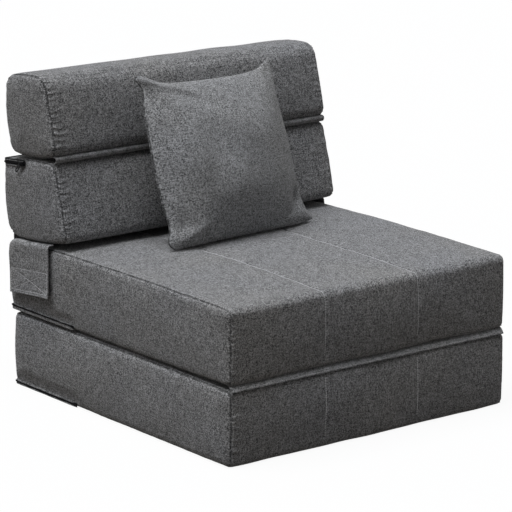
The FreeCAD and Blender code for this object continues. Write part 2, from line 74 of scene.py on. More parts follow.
@dataclass(frozen=True)
class Signal:
    """One shader value that takes part in Python sums."""

    sheet: "NodeSheet"
    socket: bpy.types.NodeSocket

    def __add__(self, other: "Signal | float") -> "Signal":
        """Sum of two values."""
        return self.sheet.maths("ADD", self, other)

    __radd__ = __add__

    def __mul__(self, other: "Signal | float") -> "Signal":
        """Product of two values."""
        return self.sheet.maths("MULTIPLY", self, other)

    __rmul__ = __mul__

    def __sub__(self, other: "Signal | float") -> "Signal":
        """Difference of two values."""
        return self.sheet.maths("SUBTRACT", self, other)

    def __rsub__(self, other: "Signal | float") -> "Signal":
        """Difference with this value taken away."""
        return self.sheet.maths("SUBTRACT", other, self)

    def __truediv__(self, other: "Signal | float") -> "Signal":
        """Quotient of two values."""
        return self.sheet.maths("DIVIDE", self, other)

    def __pow__(self, other: "Signal | float") -> "Signal":
        """Power of two values."""
        return self.sheet.maths("POWER", self, other)


class NodeSheet:
    """Node tree of one material, or of the world."""

    def __init__(self, name: str, world: bpy.types.World | None = None) -> None:
        """Start with an empty node tree.

        Args:
            name: Name of the material.
            world: The world, where the tree is its own.
        """
        self.material = world or bpy.data.materials.new(name)
        self.material.use_nodes = True
        self.tree = self.material.node_tree
        self.tree.nodes.clear()

    def node(self, kind: str, settings: dict[str, Any], sockets: dict[Any, Any]) -> bpy.types.Node:
        """Add any node.

        Args:
            kind: Blender's name of the node type.
            settings: Attributes to set first.
            sockets: Values or signals by the input's name or number.

        Returns:
            The node.
        """
        made = self.tree.nodes.new(kind)
        for key, value in settings.items():
            setattr(made, key, value)
        for key, value in sockets.items():
            if isinstance(value, Signal):
                self.tree.links.new(value.socket, made.inputs[key])
            else:
                made.inputs[key].default_value = value
        return made

    def signal(
            self, kind: str, settings: dict[str, Any], sockets: dict[Any, Any], output: Any = 0) -> Signal:
        """Add a node and take one of its outputs."""
        return Signal(self, self.node(kind, settings, sockets).outputs[output])

    def maths(self, operation: str, first: Signal | float, second: Signal | float) -> Signal:
        """Add a Math node."""
        return self.signal("ShaderNodeMath", {"operation": operation}, {0: first, 1: second})

    def place(self) -> Signal:
        """Object coordinates in metres."""
        return self.signal("ShaderNodeTexCoord", {}, {}, "Object")

    def run(self) -> Signal:
        """The cloth's own map, metres across and along it."""
        return self.signal("ShaderNodeUVMap", {"uv_map": RUN_MAP}, {})

    def part(self, vector: Signal, axis: str) -> Signal:
        """One part of a vector."""
        return self.signal("ShaderNodeSeparateXYZ", {}, {0: vector}, axis)

    def scaled(self, vector: Signal, scale: tuple[float, float, float]) -> Signal:
        """Vector stretched by a factor along each axis."""
        return self.signal("ShaderNodeVectorMath", {"operation": "MULTIPLY"}, {0: vector, 1: scale})

    def noise(self, vector: Signal, scale: float = 1.0, detail: float = 2.0) -> Signal:
        """Soft noise, from 0 to 1 about 0.5."""
        sockets = {"Vector": vector, "Scale": scale, "Detail": detail}
        return self.signal("ShaderNodeTexNoise", {}, sockets, "Fac")

    def streaks(self, run: Signal, across: float, along: float) -> Signal:
        """Noise on the cloth's map, with so many grains to the metre across and along it."""
        return self.noise(self.scaled(run, (across, along, 1.0)), 1.0, 1.0)

    def wave(self, value: Signal, length: float, phase: Signal | None = None) -> Signal:
        """Sine wave of a length in metres, from 0 to 1, shifted by a phase."""
        turns = value * (TURN / length)
        return self.maths("SINE", turns + phase if phase else turns, 0.0) * 0.5 + 0.5

    def seen(self) -> Signal:
        """1 for what the camera sees, also in gloss and through glass, and 0 for what lights.

        Returns:
            A value of 0 or 1.
        """
        rays = self.node("ShaderNodeLightPath", {}, {})
        camera, glossy, through = (
            Signal(self, rays.outputs[f"Is {kind} Ray"]) for kind in ("Camera", "Glossy", "Transmission"))
        return self.maths("MAXIMUM", self.maths("MAXIMUM", camera, glossy), through)

    def swing(self, value: Signal, low: float, high: float) -> Signal:
        """Value turned into 0 below low and 1 above high, smoothly between."""
        sockets = {"Value": value, "From Min": low, "From Max": high, "To Min": 0.0, "To Max": 1.0}
        return self.signal("ShaderNodeMapRange", {"interpolation_type": "SMOOTHSTEP"}, sockets)

    def blended(self, share: Signal, first: Tone, second: Tone) -> Signal:
        """Colour between two, by a share from 0 to 1."""
        settings = {"data_type": "RGBA", "clamp_factor": True}
        return self.signal("ShaderNodeMix", settings, {0: share, 6: (*first, 1.0), 7: (*second, 1.0)}, 2)

    def shaded(self, colour: Signal | Tone, factor: Signal) -> Signal:
        """Colour made lighter or darker by a factor."""
        settings = {"operation": "SCALE"}
        return self.signal("ShaderNodeVectorMath", settings, {0: colour, "Scale": factor})

    def close(self, colour: Signal, roughness: Signal, height: Signal,
              fixed: dict[str, float]) -> bpy.types.Material:
        """Finish the material with one Principled shader.

        Args:
            colour: Base colour.
            roughness: Roughness.
            height: Relief in metres.
            fixed: Other sockets that are the same all over.

        Returns:
            The material.
        """
        bump = self.signal("ShaderNodeBump", {}, {"Height": height, "Distance": 1.0})
        sockets = {"Base Color": colour, "Roughness": roughness, "Normal": bump, **fixed}
        shader = self.signal("ShaderNodeBsdfPrincipled", {}, sockets)
        self.node("ShaderNodeOutputMaterial", {}, {"Surface": shader})
        return self.material


@dataclass(frozen=True)
class HeatherCloth:
    """Heathered plain weave: two-tone yarns with slubs, gathered along its seams; painted shade darkens the
    seam creases, a painted highlight lightens the cloth beside them, and painted light and shade lie on the
    gathers.
    """

    name: str
    cool: Tone = (0.180, 0.184, 0.196)
    warm: Tone = (0.192, 0.188, 0.180)
    pitch: float = 0.0012
    contrast: float = 1.0
    # seam_shade is the share of colour that the painted shade leaves in the seam creases; pucker sets the
    # gathers' relief and the strength of their painted light and shade.
    seam_shade: float = 0.22
    pucker: float = 0.0016
    slub: Pair = (330.0, 34.0)
    fleck: float = 460.0
    gather: float = 0.0118

    def yarn(self, sheet: NodeSheet, across: Signal, along: Signal) -> Signal:
        """Random tone of each short length of the yarns that run one way.

        Args:
            sheet: The material's nodes.
            across: Place across the yarns, in metres.
            along: Place along the yarns, in metres.

        Returns:
            A tone from 0 to 1 that changes from yarn to yarn and along each.
        """
        number = sheet.maths("FLOOR", across / self.pitch, 0.0)
        start = sheet.signal("ShaderNodeTexWhiteNoise", {"noise_dimensions": "1D"}, {"W": number})
        length = sheet.maths("FLOOR", along / (self.pitch * 1.8) + start * 9.0, 0.0)
        cell = sheet.signal("ShaderNodeCombineXYZ", {}, {"X": number, "Y": length})
        return sheet.signal("ShaderNodeTexWhiteNoise", {"noise_dimensions": "2D"}, {"Vector": cell})

    def weave(self, sheet: NodeSheet) -> tuple[Signal, Signal]:
        """Tone and relief of the yarns.

        Args:
            sheet: The material's nodes.

        Returns:
            Tone about 1 and height in metres.
        """
        run = sheet.run()
        turns = TURN / self.pitch
        u, v = sheet.part(run, "X"), sheet.part(run, "Y")
        over = sheet.maths("SINE", u * turns, 0.0) * sheet.maths("SINE", v * turns, 0.0) * 0.5 + 0.5
        warp = self.yarn(sheet, u, v)
        weft = self.yarn(sheet, v, u)
        yarn = warp * over + weft * (1.0 - over)
        slubs = sheet.streaks(run, *self.slub) + sheet.streaks(run, *self.slub[::-1])
        fleck = sheet.streaks(run, self.fleck, self.fleck) - 0.5
        spread_by = self.contrast * ((yarn - 0.5) * 2.2 + (slubs - 1.0) * 0.8 + fleck)
        darkest = 0.12
        tone = sheet.maths("MAXIMUM", 1.0 + spread_by, darkest)
        return tone, (over + yarn) * 0.00005 + slubs * 0.0001

    def gathers(self, sheet: NodeSheet, gap: Signal) -> tuple[Signal, Signal]:
        """Gathers that the seams pull into the cloth, strongest at the left.

        Args:
            sheet: The material's nodes.
            gap: Distance to the nearest seam, in metres.

        Returns:
            Their ridges and the nearness of the seam, each from 0 to 1.
        """
        run = sheet.run()
        leftmost = sheet.swing(sheet.part(run, "X"), 0.10, -0.10) * 0.7 + 0.3
        near = sheet.swing(gap, 0.036, 0.005) * leftmost
        fits = sheet.swing(sheet.streaks(run, 5.0, 21.0), 0.27, 0.52)
        wave = sheet.wave(sheet.part(run, "Y"), self.gather, sheet.streaks(run, 34.0, 30.0) * 11.0)
        return wave ** 1.8 * near * (0.2 + 0.8 * fits), near

    def dress(self) -> bpy.types.Material:
        """Make the cloth's material.

        Returns:
            The material.
        """
        sheet = NodeSheet(self.name)
        place = sheet.place()
        tone, relief = self.weave(sheet)
        gap = sheet.signal("ShaderNodeAttribute", {"attribute_name": SEAM_GAP}, {}, "Fac")
        cloud = sheet.noise(place, 9.0, 2.0)
        mottle = sheet.noise(place, 42.0, 2.0)
        # Painted highlight: up to 7% lighter within about 11 mm of a seam, where the rounded edge catches
        # the light.
        painted_seam_highlight = sheet.swing(gap, 0.011, 0.003) * 0.07
        broken = sheet.swing(sheet.noise(place, 190.0, 1.0), 0.38, 0.56)
        # Painted shade: darker in broken dashes within about 2.5 mm of a seam, standing in for the shade in
        # the seam's crease.
        fold = sheet.swing(gap, 0.0025, 0.0006)
        painted_crease_shade = 1.0 - fold * (0.38 + 0.62 * broken) * (1.0 - self.seam_shade)
        ridge, near = self.gathers(sheet, gap)
        # Painted light and shade on the gathers: their ridges are painted lighter and the cloth near the
        # seam darker.
        lit = 1.0 + (ridge - near * 0.22) * (self.pucker * 200.0)
        factor = tone * (1.0 + (cloud - 0.5) * 0.10 + (mottle - 0.5) * 0.10 + painted_seam_highlight) * painted_crease_shade * lit
        tint = sheet.blended(sheet.noise(place, 5.0, 2.0), self.cool, self.warm)
        soft = sheet.noise(place, 24.0, 1.0) * 0.0018
        fixed = {"Sheen Weight": 0.12, "Sheen Roughness": 0.6, "Specular IOR Level": 0.2}
        rough = 0.86 + (mottle - 0.5) * 0.12
        return sheet.close(sheet.shaded(tint, factor), rough, relief + ridge * self.pucker + soft, fixed)


@dataclass(frozen=True)
class OpenFoam:
    """Open-cell foam or fibre filling."""

    name: str
    colour: Tone
    cell: float

    def dress(self) -> bpy.types.Material:
        """Make the foam's material.

        Returns:
            The material.
        """
        sheet = NodeSheet(self.name)
        place = sheet.place()
        cells = sheet.signal("ShaderNodeTexVoronoi", {}, {"Vector": place, "Scale": self.cell}, "Distance")
        cloud = sheet.noise(place, 14.0, 3.0)
        pore = sheet.swing(cells, 0.05, 0.55)
        red, green, blue = (0.62 * part for part in self.colour)
        colour = sheet.shaded(sheet.blended(pore, (red, green, blue), self.colour), 0.93 + cloud * 0.14)
        return sheet.close(colour, 0.9 + cloud * 0.08, pore * 0.0006, {"Specular IOR Level": 0.2})


@dataclass(frozen=True)
class RibbedTape:
    """Narrow woven polyester tape with ribs across it."""

    name: str
    colour: Tone = (0.011, 0.011, 0.012)
    rib: float = 0.0011

    def dress(self) -> bpy.types.Material:
        """Make the tape's material.

        Returns:
            The material.
        """
        sheet = NodeSheet(self.name)
        run = sheet.run()
        rib = sheet.wave(sheet.part(run, "X"), self.rib)
        wale = sheet.wave(sheet.part(run, "Y"), self.rib * 1.6)
        fuzz = sheet.noise(run, 900.0, 2.0)
        colour = sheet.shaded(self.colour, 0.65 + rib * 0.35 + wale * 0.2 + (fuzz - 0.5) * 0.7)
        relief = rib * 0.0002 + fuzz * 0.0001
        return sheet.close(colour, 0.72 + fuzz * 0.2, relief, {"Specular IOR Level": 0.1})


@dataclass(frozen=True)
class PileTape:
    """Hook or loop tape: short pile on a woven ground."""

    name: str
    tuft: float
    colour: Tone = (0.028, 0.028, 0.030)
    fuzz: Tone = (0.06, 0.06, 0.062)

    def dress(self) -> bpy.types.Material:
        """Make the pile's material.

        Returns:
            The material.
        """
        sheet = NodeSheet(self.name)
        place = sheet.place()
        sockets = {"Vector": place, "Scale": 1 / self.tuft}
        tufts = sheet.signal("ShaderNodeTexVoronoi", {}, sockets, "Distance")
        fuzz = sheet.noise(place, 700.0, 2.0)
        height = sheet.swing(tufts, 0.6, 0.1)
        colour = sheet.shaded(sheet.blended(fuzz, self.colour, self.fuzz), 0.5 + height * 0.8)
        return sheet.close(colour, 0.8 + fuzz * 0.15, height * 0.0008, {"Sheen Weight": 0.3})


@dataclass(frozen=True)
class HardBlack:
    """Black nylon or enamelled metal with handling marks."""

    name: str
    metallic: float
    roughness: float
    coat: float
    colour: Tone = (0.009, 0.009, 0.010)
    rubbed: Tone = (0.05, 0.05, 0.05)

    def dress(self) -> bpy.types.Material:
        """Make the hard finish's material.

        Returns:
            The material.
        """
        sheet = NodeSheet(self.name)
        place = sheet.place()
        rub = sheet.noise(place, 420.0, 3.0)
        scuff = sheet.swing(sheet.noise(place, 160.0, 4.0), 0.62, 0.78)
        colour = sheet.blended(scuff * 0.6, self.colour, self.rubbed)
        fixed = {
            "Metallic": self.metallic,
            "Specular IOR Level": 0.06,
            "Coat Weight": self.coat,
            "Coat Roughness": 0.2,
        }
        return sheet.close(colour, self.roughness + (rub - 0.5) * 0.25, rub * 0.00003, fixed)


@dataclass(frozen=True)
class SewingThread:
    """Twisted sewing thread."""

    name: str
    colour: Tone = (0.58, 0.58, 0.59)

    def dress(self) -> bpy.types.Material:
        """Make the thread's material.

        Returns:
            The material.
        """
        sheet = NodeSheet(self.name)
        place = sheet.place()
        ply = sheet.noise(place, 2600.0, 2.0)
        shade = sheet.noise(place, 60.0, 1.0)
        colour = sheet.shaded(self.colour, 0.6 + ply * 0.5 + shade * 0.3)
        return sheet.close(colour, 0.55 + ply * 0.2, ply * 0.00008, {"Sheen Weight": 0.15})


@dataclass(frozen=True)
class StudioFloor:
    """Pale floor that the camera sees as white but for the object's shadow."""

    name: str = "pale_floor"
    glow: float = 0.93
    bounce: Tone = (0.11, 0.095, 0.08)
    pale: Tone = (0.86, 0.86, 0.86)

    def dress(self) -> bpy.types.Material:
        """Make the floor's material.

        Returns:
            The material.
        """
        sheet = NodeSheet(self.name)
        seen = sheet.seen()
        pale = sheet.blended(seen, self.bounce, self.pale)
        matt = sheet.signal("ShaderNodeBsdfDiffuse", {}, {"Color": pale})
        white = sheet.signal("ShaderNodeEmission", {}, {"Color": (1.0, 1.0, 1.0, 1.0), "Strength": 1.0})
        mixed = sheet.signal("ShaderNodeMixShader", {}, {0: seen * self.glow, 1: matt, 2: white})
        sheet.node("ShaderNodeOutputMaterial", {}, {"Surface": mixed})
        return sheet.material


class Finish(Enum):
    """Finishes, with their materials made once."""

    COVER = "cover_fabric"
    STRIP = "strip_fabric"
    STRAP = "strap_fabric"
    PILLOW = "pillow_fabric"
    FOAM = "foam"
    FILLING = "filling"
    PILE = "hook_and_loop"
    TAPE = "zipper_tape"
    COIL = "zipper_coil"
    METAL = "zipper_metal"


MAKERS = {
    Finish.COVER: HeatherCloth("heather_cover", contrast=1.25),
    Finish.STRIP: HeatherCloth("heather_strip", contrast=0.9, pucker=0.0003),
    Finish.STRAP: HeatherCloth("heather_strap", contrast=1.25, pucker=0.0),
    Finish.PILLOW: HeatherCloth(
        "heather_pillow", cool=(0.218, 0.224, 0.236), warm=(0.226, 0.224, 0.219), pucker=0.0002),
    Finish.FOAM: OpenFoam("seat_foam", (0.86, 0.82, 0.68), 620.0),
    Finish.FILLING: OpenFoam("fibre_filling", (0.93, 0.93, 0.91), 240.0),
    Finish.PILE: PileTape("pile_tape", 0.0014),
    Finish.TAPE: RibbedTape("zipper_tape_weave"),
    Finish.COIL: HardBlack("nylon_coil", 0.0, 0.62, 0.0),
    Finish.METAL: HardBlack("black_enamel", 0.0, 0.5, 0.05),
}
MATERIALS = {kind: maker.dress() for kind, maker in MAKERS.items()}
SIDE_CLOTH = HeatherCloth("heather_side", contrast=1.3, pucker=0.0003).dress()
LAYER_CLOTH = HeatherCloth("heather_layer", contrast=1.25, pucker=0.0005).dress()
THREAD = SewingThread("seam_thread").dress()


# Modelling helpers


def nothing_selected() -> None:
    """Leave edit mode and deselect everything."""
    if bpy.context.object and bpy.context.object.mode != "OBJECT":
        bpy.ops.object.mode_set(mode="OBJECT")
    bpy.ops.object.select_all(action="DESELECT")


def only(piece: bpy.types.Object) -> None:
    """Make a piece the only selected and the active one.

    Args:
        piece: The piece.
    """
    nothing_selected()
    piece.select_set(True)
    bpy.context.view_layer.objects.active = piece


def named(name: str) -> bpy.types.Object:
    """Give the primitive just added its name, and its mesh too.

    Args:
        name: The name.

    Returns:
        The piece.
    """
    piece = bpy.context.object
    piece.name = name
    piece.data.name = name
    return piece


@contextmanager
def editing(whole: bool = True) -> Iterator[None]:
    """Edit the active piece, with the whole of it selected or what was selected before.

    Args:
        whole: Whether all of it is selected first.

    Yields:
        Nothing, in edit mode.
    """
    bpy.ops.object.mode_set(mode="EDIT")
    if whole:
        bpy.ops.mesh.select_all(action="SELECT")
    yield
    bpy.ops.object.mode_set(mode="OBJECT")


def clear_selection(mesh: bpy.types.Mesh) -> None:
    """Deselect every vertex, edge and face of a mesh."""
    for parts in (mesh.vertices, mesh.edges, mesh.polygons):
        parts.foreach_set("select", np.zeros(len(parts), bool))


def cut_edges(piece: bpy.types.Object, chosen: Array, cuts: int) -> None:
    """Divide the chosen edges of the active piece by so many cuts.

    Args:
        piece: The piece.
        chosen: One truth value for each edge.
        cuts: Number of cuts in each chosen edge.
    """
    bpy.context.tool_settings.mesh_select_mode = (False, True, False)
    clear_selection(piece.data)
    piece.data.edges.foreach_set("select", chosen)
    with editing(whole=False):
        bpy.ops.mesh.subdivide(number_cuts=cuts)


def edge_spans(piece: bpy.types.Object) -> Array:
    """How far each edge of a piece reaches along X, Y and Z.

    Args:
        piece: The piece.

    Returns:
        One row for each edge.
    """
    ends = np.empty(len(piece.data.edges) * 2, np.int32)
    piece.data.edges.foreach_get("vertices", ends)
    spots = points_of(piece)
    return np.abs(spots[ends[::2]] - spots[ends[1::2]])


def gridded_cube(name: str, cuts: Cells) -> bpy.types.Object:
    """Cube from -1 to 1 whose faces are cut into a grid.

    Args:
        name: Name of the piece.
        cuts: Number of cells along X, Y and Z.

    Returns:
        The piece.
    """
    nothing_selected()
    bpy.ops.mesh.primitive_cube_add(size=2)
    piece = named(name)
    for axis, cells in enumerate(cuts):
        span = edge_spans(piece)
        cut_edges(piece, span[:, axis] > span.sum(axis=1) - span[:, axis] + 1e-6, cells - 1)
    return piece


def points_of(piece: bpy.types.Object) -> Array:
    """Vertices of a piece as rows of three numbers.

    Args:
        piece: The piece.

    Returns:
        One row for each vertex.
    """
    spots = np.empty(len(piece.data.vertices) * 3, np.float64)
    piece.data.vertices.foreach_get("co", spots)
    return spots.reshape(-1, 3)


def move_to(piece: bpy.types.Object, spots: Array) -> None:
    """Put a piece's vertices at new places."""
    piece.data.vertices.foreach_set("co", np.asarray(spots, np.float32).ravel())
    piece.data.update()


def set_gap(piece: bpy.types.Object, gaps: Array) -> None:
    """Keep each vertex's distance to the nearest seam, in metres."""
    layer = piece.data.attributes.new(SEAM_GAP, "FLOAT", "POINT")
    layer.data.foreach_set("value", np.asarray(gaps, np.float32))


def set_run(piece: bpy.types.Object, corners: Array) -> None:
    """Give a piece its cloth map, one pair of metres for each face corner."""
    layer = piece.data.uv_layers.new(name=RUN_MAP)
    layer.data.foreach_set("uv", np.asarray(corners, np.float32).ravel())


def corner_points(piece: bpy.types.Object) -> Array:
    """Vertex number of every face corner.

    Args:
        piece: The piece.

    Returns:
        One number for each face corner.
    """
    found = np.empty(len(piece.data.loops), np.int32)
    piece.data.loops.foreach_get("vertex_index", found)
    return found


def apply_solid(piece: bpy.types.Object, wall: float, offset: float) -> None:
    """Give a sheet its thickness.

    Args:
        piece: The sheet.
        wall: Its thickness in metres.
        offset: -1 where it grows inwards only, 0 where both ways.
    """
    only(piece)
    made = piece.modifiers.new("wall", "SOLIDIFY")
    made.thickness = wall
    made.offset = offset
    bpy.ops.object.modifier_apply(modifier=made.name)


def apply_subdivision(piece: bpy.types.Object, levels: int) -> None:
    """Smooth a piece by subdivision.

    Args:
        piece: The piece.
        levels: How often each face is divided.
    """
    only(piece)
    made = piece.modifiers.new("smooth", "SUBSURF")
    made.levels = made.render_levels = levels
    bpy.ops.object.modifier_apply(modifier=made.name)


def smooth(piece: bpy.types.Object, degrees: float = 180.0) -> None:
    """Shade a piece smooth, with edges sharper than an angle left crisp.

    Args:
        piece: The piece.
        degrees: The angle; at 180 no edge is left crisp.
    """
    only(piece)
    if degrees < 180.0:
        bpy.ops.object.shade_smooth_by_angle(angle=math.radians(degrees))
    else:
        bpy.ops.object.shade_smooth()


def face_outwards(piece: bpy.types.Object) -> None:
    """Merge doubles and turn all faces outwards.

    Args:
        piece: A closed piece.
    """
    only(piece)
    with editing():
        bpy.ops.mesh.remove_doubles(threshold=1e-6)
        bpy.ops.mesh.normals_make_consistent(inside=False)


def split_off(piece: bpy.types.Object, faces: Array, name: str) -> bpy.types.Object:
    """Separate chosen faces into a piece of their own.

    Args:
        piece: The piece they belong to.
        faces: One truth value for each face.
        name: Name of the new piece.

    Returns:
        The new piece.
    """
    only(piece)
    bpy.context.tool_settings.mesh_select_mode = (False, False, True)
    clear_selection(piece.data)
    piece.data.polygons.foreach_set("select", faces)
    with editing(whole=False):
        bpy.ops.mesh.separate(type="SELECTED")
    part = next(o for o in bpy.context.selected_objects if o is not piece)
    part.name = name
    part.data.name = name
    return part


def dress(piece: bpy.types.Object, kind: Finish, material: bpy.types.Material | None = None) -> None:
    """Give a piece the material of its finish, or a material of its own.

    Args:
        piece: The piece.
        kind: Its finish.
        material: Its material, where it isn't the finish's own.
    """
    piece.data.materials.clear()
    piece.data.materials.append(material or MATERIALS[kind])


def report(piece: bpy.types.Object, body: str) -> None:
    """Log one finished piece."""
    LOG.info("%s on %s: %d faces", piece.name, body, len(piece.data.polygons))


def taken_model() -> tuple[Array, Faces]:
    """Take the points and faces of the primitive just modelled, and remove it.

    Returns:
        Its points and faces.
    """
    model = bpy.context.object
    # Blender lists a sphere's faces in another order each time.
    spots, faces = points_of(model), sorted(tuple(face.vertices) for face in model.data.polygons)
    bpy.data.objects.remove(model)
    return spots, faces


def copies(name: str, model: tuple[Array, Faces], origins: Array, ways: Array) -> bpy.types.Object:
    """Set a copy of a model at each place, all in one piece.

    Args:
        name: Name of the piece.
        model: The model's points and faces.
        origins: Where each copy's origin goes, one row each.
        ways: Where each copy's X, Y and Z point, as rows of a matrix each.

    Returns:
        The piece.
    """
    spots, faces = model
    points = (origins[:, None] + spots @ ways).reshape(-1, 3)
    polygons = [
        tuple(first + corner for corner in face)
        for first in range(0, len(points), len(spots)) for face in faces]
    mesh = bpy.data.meshes.new(name)
    mesh.from_pydata(points.tolist(), [], polygons)
    piece = bpy.data.objects.new(name, mesh)
    bpy.context.scene.collection.objects.link(piece)
    return piece


def unit(rows: Array) -> Array:
    """Rows brought to length 1."""
    return rows / np.linalg.norm(rows, axis=1)[:, None]


def run_of(line: Array) -> Array:
    """Distance of each point of a line from its start."""
    return np.concatenate([[0], np.cumsum(np.linalg.norm(np.diff(line, axis=0), axis=1))])


def read_off(marks: Array, run: Array, rows: Array) -> Array:
    """Rows in between, read off at distances along a line."""
    return np.column_stack([np.interp(marks, run, column) for column in rows.T])


def rounded(marks: Sequence[Pair], rounds: int) -> Array:
    """Line through marks in millimetres with its corners cut off, round after round.

    Args:
        marks: The marks, as pairs of millimetres.
        rounds: How many rounds of cutting.

    Returns:
        Points in metres.
    """
    line = np.array(marks) * MM
    for _ in range(rounds):
        cut = [line[0]]
        for first, second in zip(line[:-1], line[1:]):
            cut += [first * 0.75 + second * 0.25, first * 0.25 + second * 0.75]
        line = np.array(cut + [line[-1]])
    return line


def ripple(spots: Array, longest: float, shortest: float, waves: int, seed: int) -> Array:
    """Smooth random waves.

    Args:
        spots: Points, one row each.
        longest: Longest wave in metres.
        shortest: Shortest wave in metres.
        waves: How many waves are added up.
        seed: Seed of the random numbers.

    Returns:
        One value for each point, mostly between -1 and 1.
    """
    dice = np.random.RandomState(seed)
    total = np.zeros(len(spots))
    for _ in range(waves):
        heading = dice.normal(size=spots.shape[1])
        heading /= np.linalg.norm(heading)
        turns = spots @ heading * (TURN / dice.uniform(shortest, longest))
        total += np.cos(turns + dice.uniform(0, TURN))
    return total / math.sqrt(waves)


def bell(gap: Array, width: float) -> Array:
    """Bell-shaped share, 1 where gap is nothing."""
    return np.exp(-((gap / width) ** 2))


def spread(length: float, step: float, close: Sequence[float], cells: int | None = None) -> Array:
    """Stations along a length, close together at both ends.

    Args:
        length: The whole length.
        step: Wished distance between stations in the middle.
        close: Distances of the first stations from an end.
        cells: Number of cells, where another side already fixes it.

    Returns:
        Rising places from 0 to length.
    """
    ends = np.array([mark for mark in close if mark < length * 0.3])
    middle = length - 2 * ends[-1]
    count = cells - 2 * (len(ends) - 1) if cells else max(2, round(middle / step))
    inner = np.linspace(ends[-1], length - ends[-1], count + 1)
    return np.concatenate([ends[:-1], inner, length - ends[:-1][::-1]])


CLOSE = tuple(mark * MM for mark in (0, 0.8, 1.8, 3.4, 6, 10, 15, 21))
QUILT_CLOSE = tuple(mark * MM for mark in (0.6, 1.6, 3, 5, 7.5, 10.5))


# Upholstered blocks


@dataclass(frozen=True)
class BackPose:
    """Lean of a block about the rear hinge line."""

    y: float = 0.0
    z: float = 0.0
    degrees: float = 0.0

    def world(self, spots: Array) -> Array:
        """Points of the block's own frame in the common one.

        Args:
            spots: The points, one row each.

        Returns:
            The same points in the common frame.
        """
        turn = math.radians(self.degrees)
        cos, sin = math.cos(turn), math.sin(turn)
        x, y, z = np.asarray(spots).T
        return np.stack([x, self.y + y * cos + z * sin, self.z - y * sin + z * cos], axis=1)

    def local(self, spots: Array) -> Array:
        """Points of the common frame in the block's own one.

        Args:
            spots: The points, one row each.

        Returns:
            The same points in the block's own frame.
        """
        turn = math.radians(self.degrees)
        cos, sin = math.cos(turn), math.sin(turn)
        x, y, z = np.asarray(spots).T
        y, z = y - self.y, z - self.z
        return np.stack([x, y * cos - z * sin, y * sin + z * cos], axis=1)


FLAT = BackPose()
LEANT = BackPose(0.391, 0.311, 5.5)


class Side(Enum):
    """Sides of a block's outline, in the order in which it is traced."""

    BOTTOM = 0
    FRONT = 1
    TOP = 2
    REAR = 3


@dataclass(frozen=True)
class Outline:
    """Rounded outline of a block seen from its side: rear bottom, front bottom, front top, rear top."""

    corners: tuple[Pair, Pair, Pair, Pair]
    radii: tuple[float, float, float, float]
    swells: tuple[float, float, float, float]
    seam_shares: tuple[float, float, float, float] = (0.3, 0.3, 0.3, 0.85)

    def parts(self, side: Side) -> dict[str, Any]:
        """Numbers of one side.

        Args:
            side: The side.

        Returns:
            Its directions, corner arcs and lengths.
        """
        corners = [np.array(corner) * MM for corner in self.corners]
        index = side.value
        runs = [corners[(i + 1) % 4] - corners[i] for i in range(4)]
        ways = [run / np.linalg.norm(run) for run in runs]
        way = ways[index]
        out = np.array([-way[1], way[0]])
        found: dict[str, Any] = {"way": way, "out": out}
        for end, corner, other in (("start", index, index - 1), ("stop", (index + 1) % 4, (index + 1) % 4)):
            turn = math.acos(float(np.clip(way @ ways[other], -1, 1)))
            reach = self.radii[corner] * MM
            radius = reach / math.tan(turn / 2)
            sign = 1 if end == "start" else -1
            centre = corners[corner] + sign * way * reach - out * radius
            found[end] = (centre, radius, radius * turn / 2, reach)
        found["straight"] = float(np.linalg.norm(runs[index])) - found["start"][3] - found["stop"][3]
        found["length"] = found["start"][2] + found["straight"] + found["stop"][2]
        return found

    def trace(self, side: Side, along: Array) -> tuple[Array, Array, Array]:
        """Follow one side from the middle of its first corner to the middle of its last.

        Args:
            side: The side.
            along: Distances from the first corner's middle.

        Returns:
            Points, outward directions and the share of the side's swell.
        """
        found = self.parts(side)
        centre, radius, half, _ = found["start"]
        last_centre, last_radius, _, _ = found["stop"]
        way, out = found["way"], found["out"]
        after = half + found["straight"]
        turn = np.where(along < half, (along - half) / radius, 0.0)
        turn = np.where(along > after, (along - after) / last_radius, turn)
        facing = np.cos(turn)[:, None] * out + np.sin(turn)[:, None] * way
        flat = centre + out * radius + (along - half)[:, None] * way
        spots = np.where((along < half)[:, None], centre + radius * facing, flat)
        spots = np.where((along > after)[:, None], last_centre + last_radius * facing, spots)
        share = along / found["length"]
        return spots, facing, 4 * share * (1 - share)


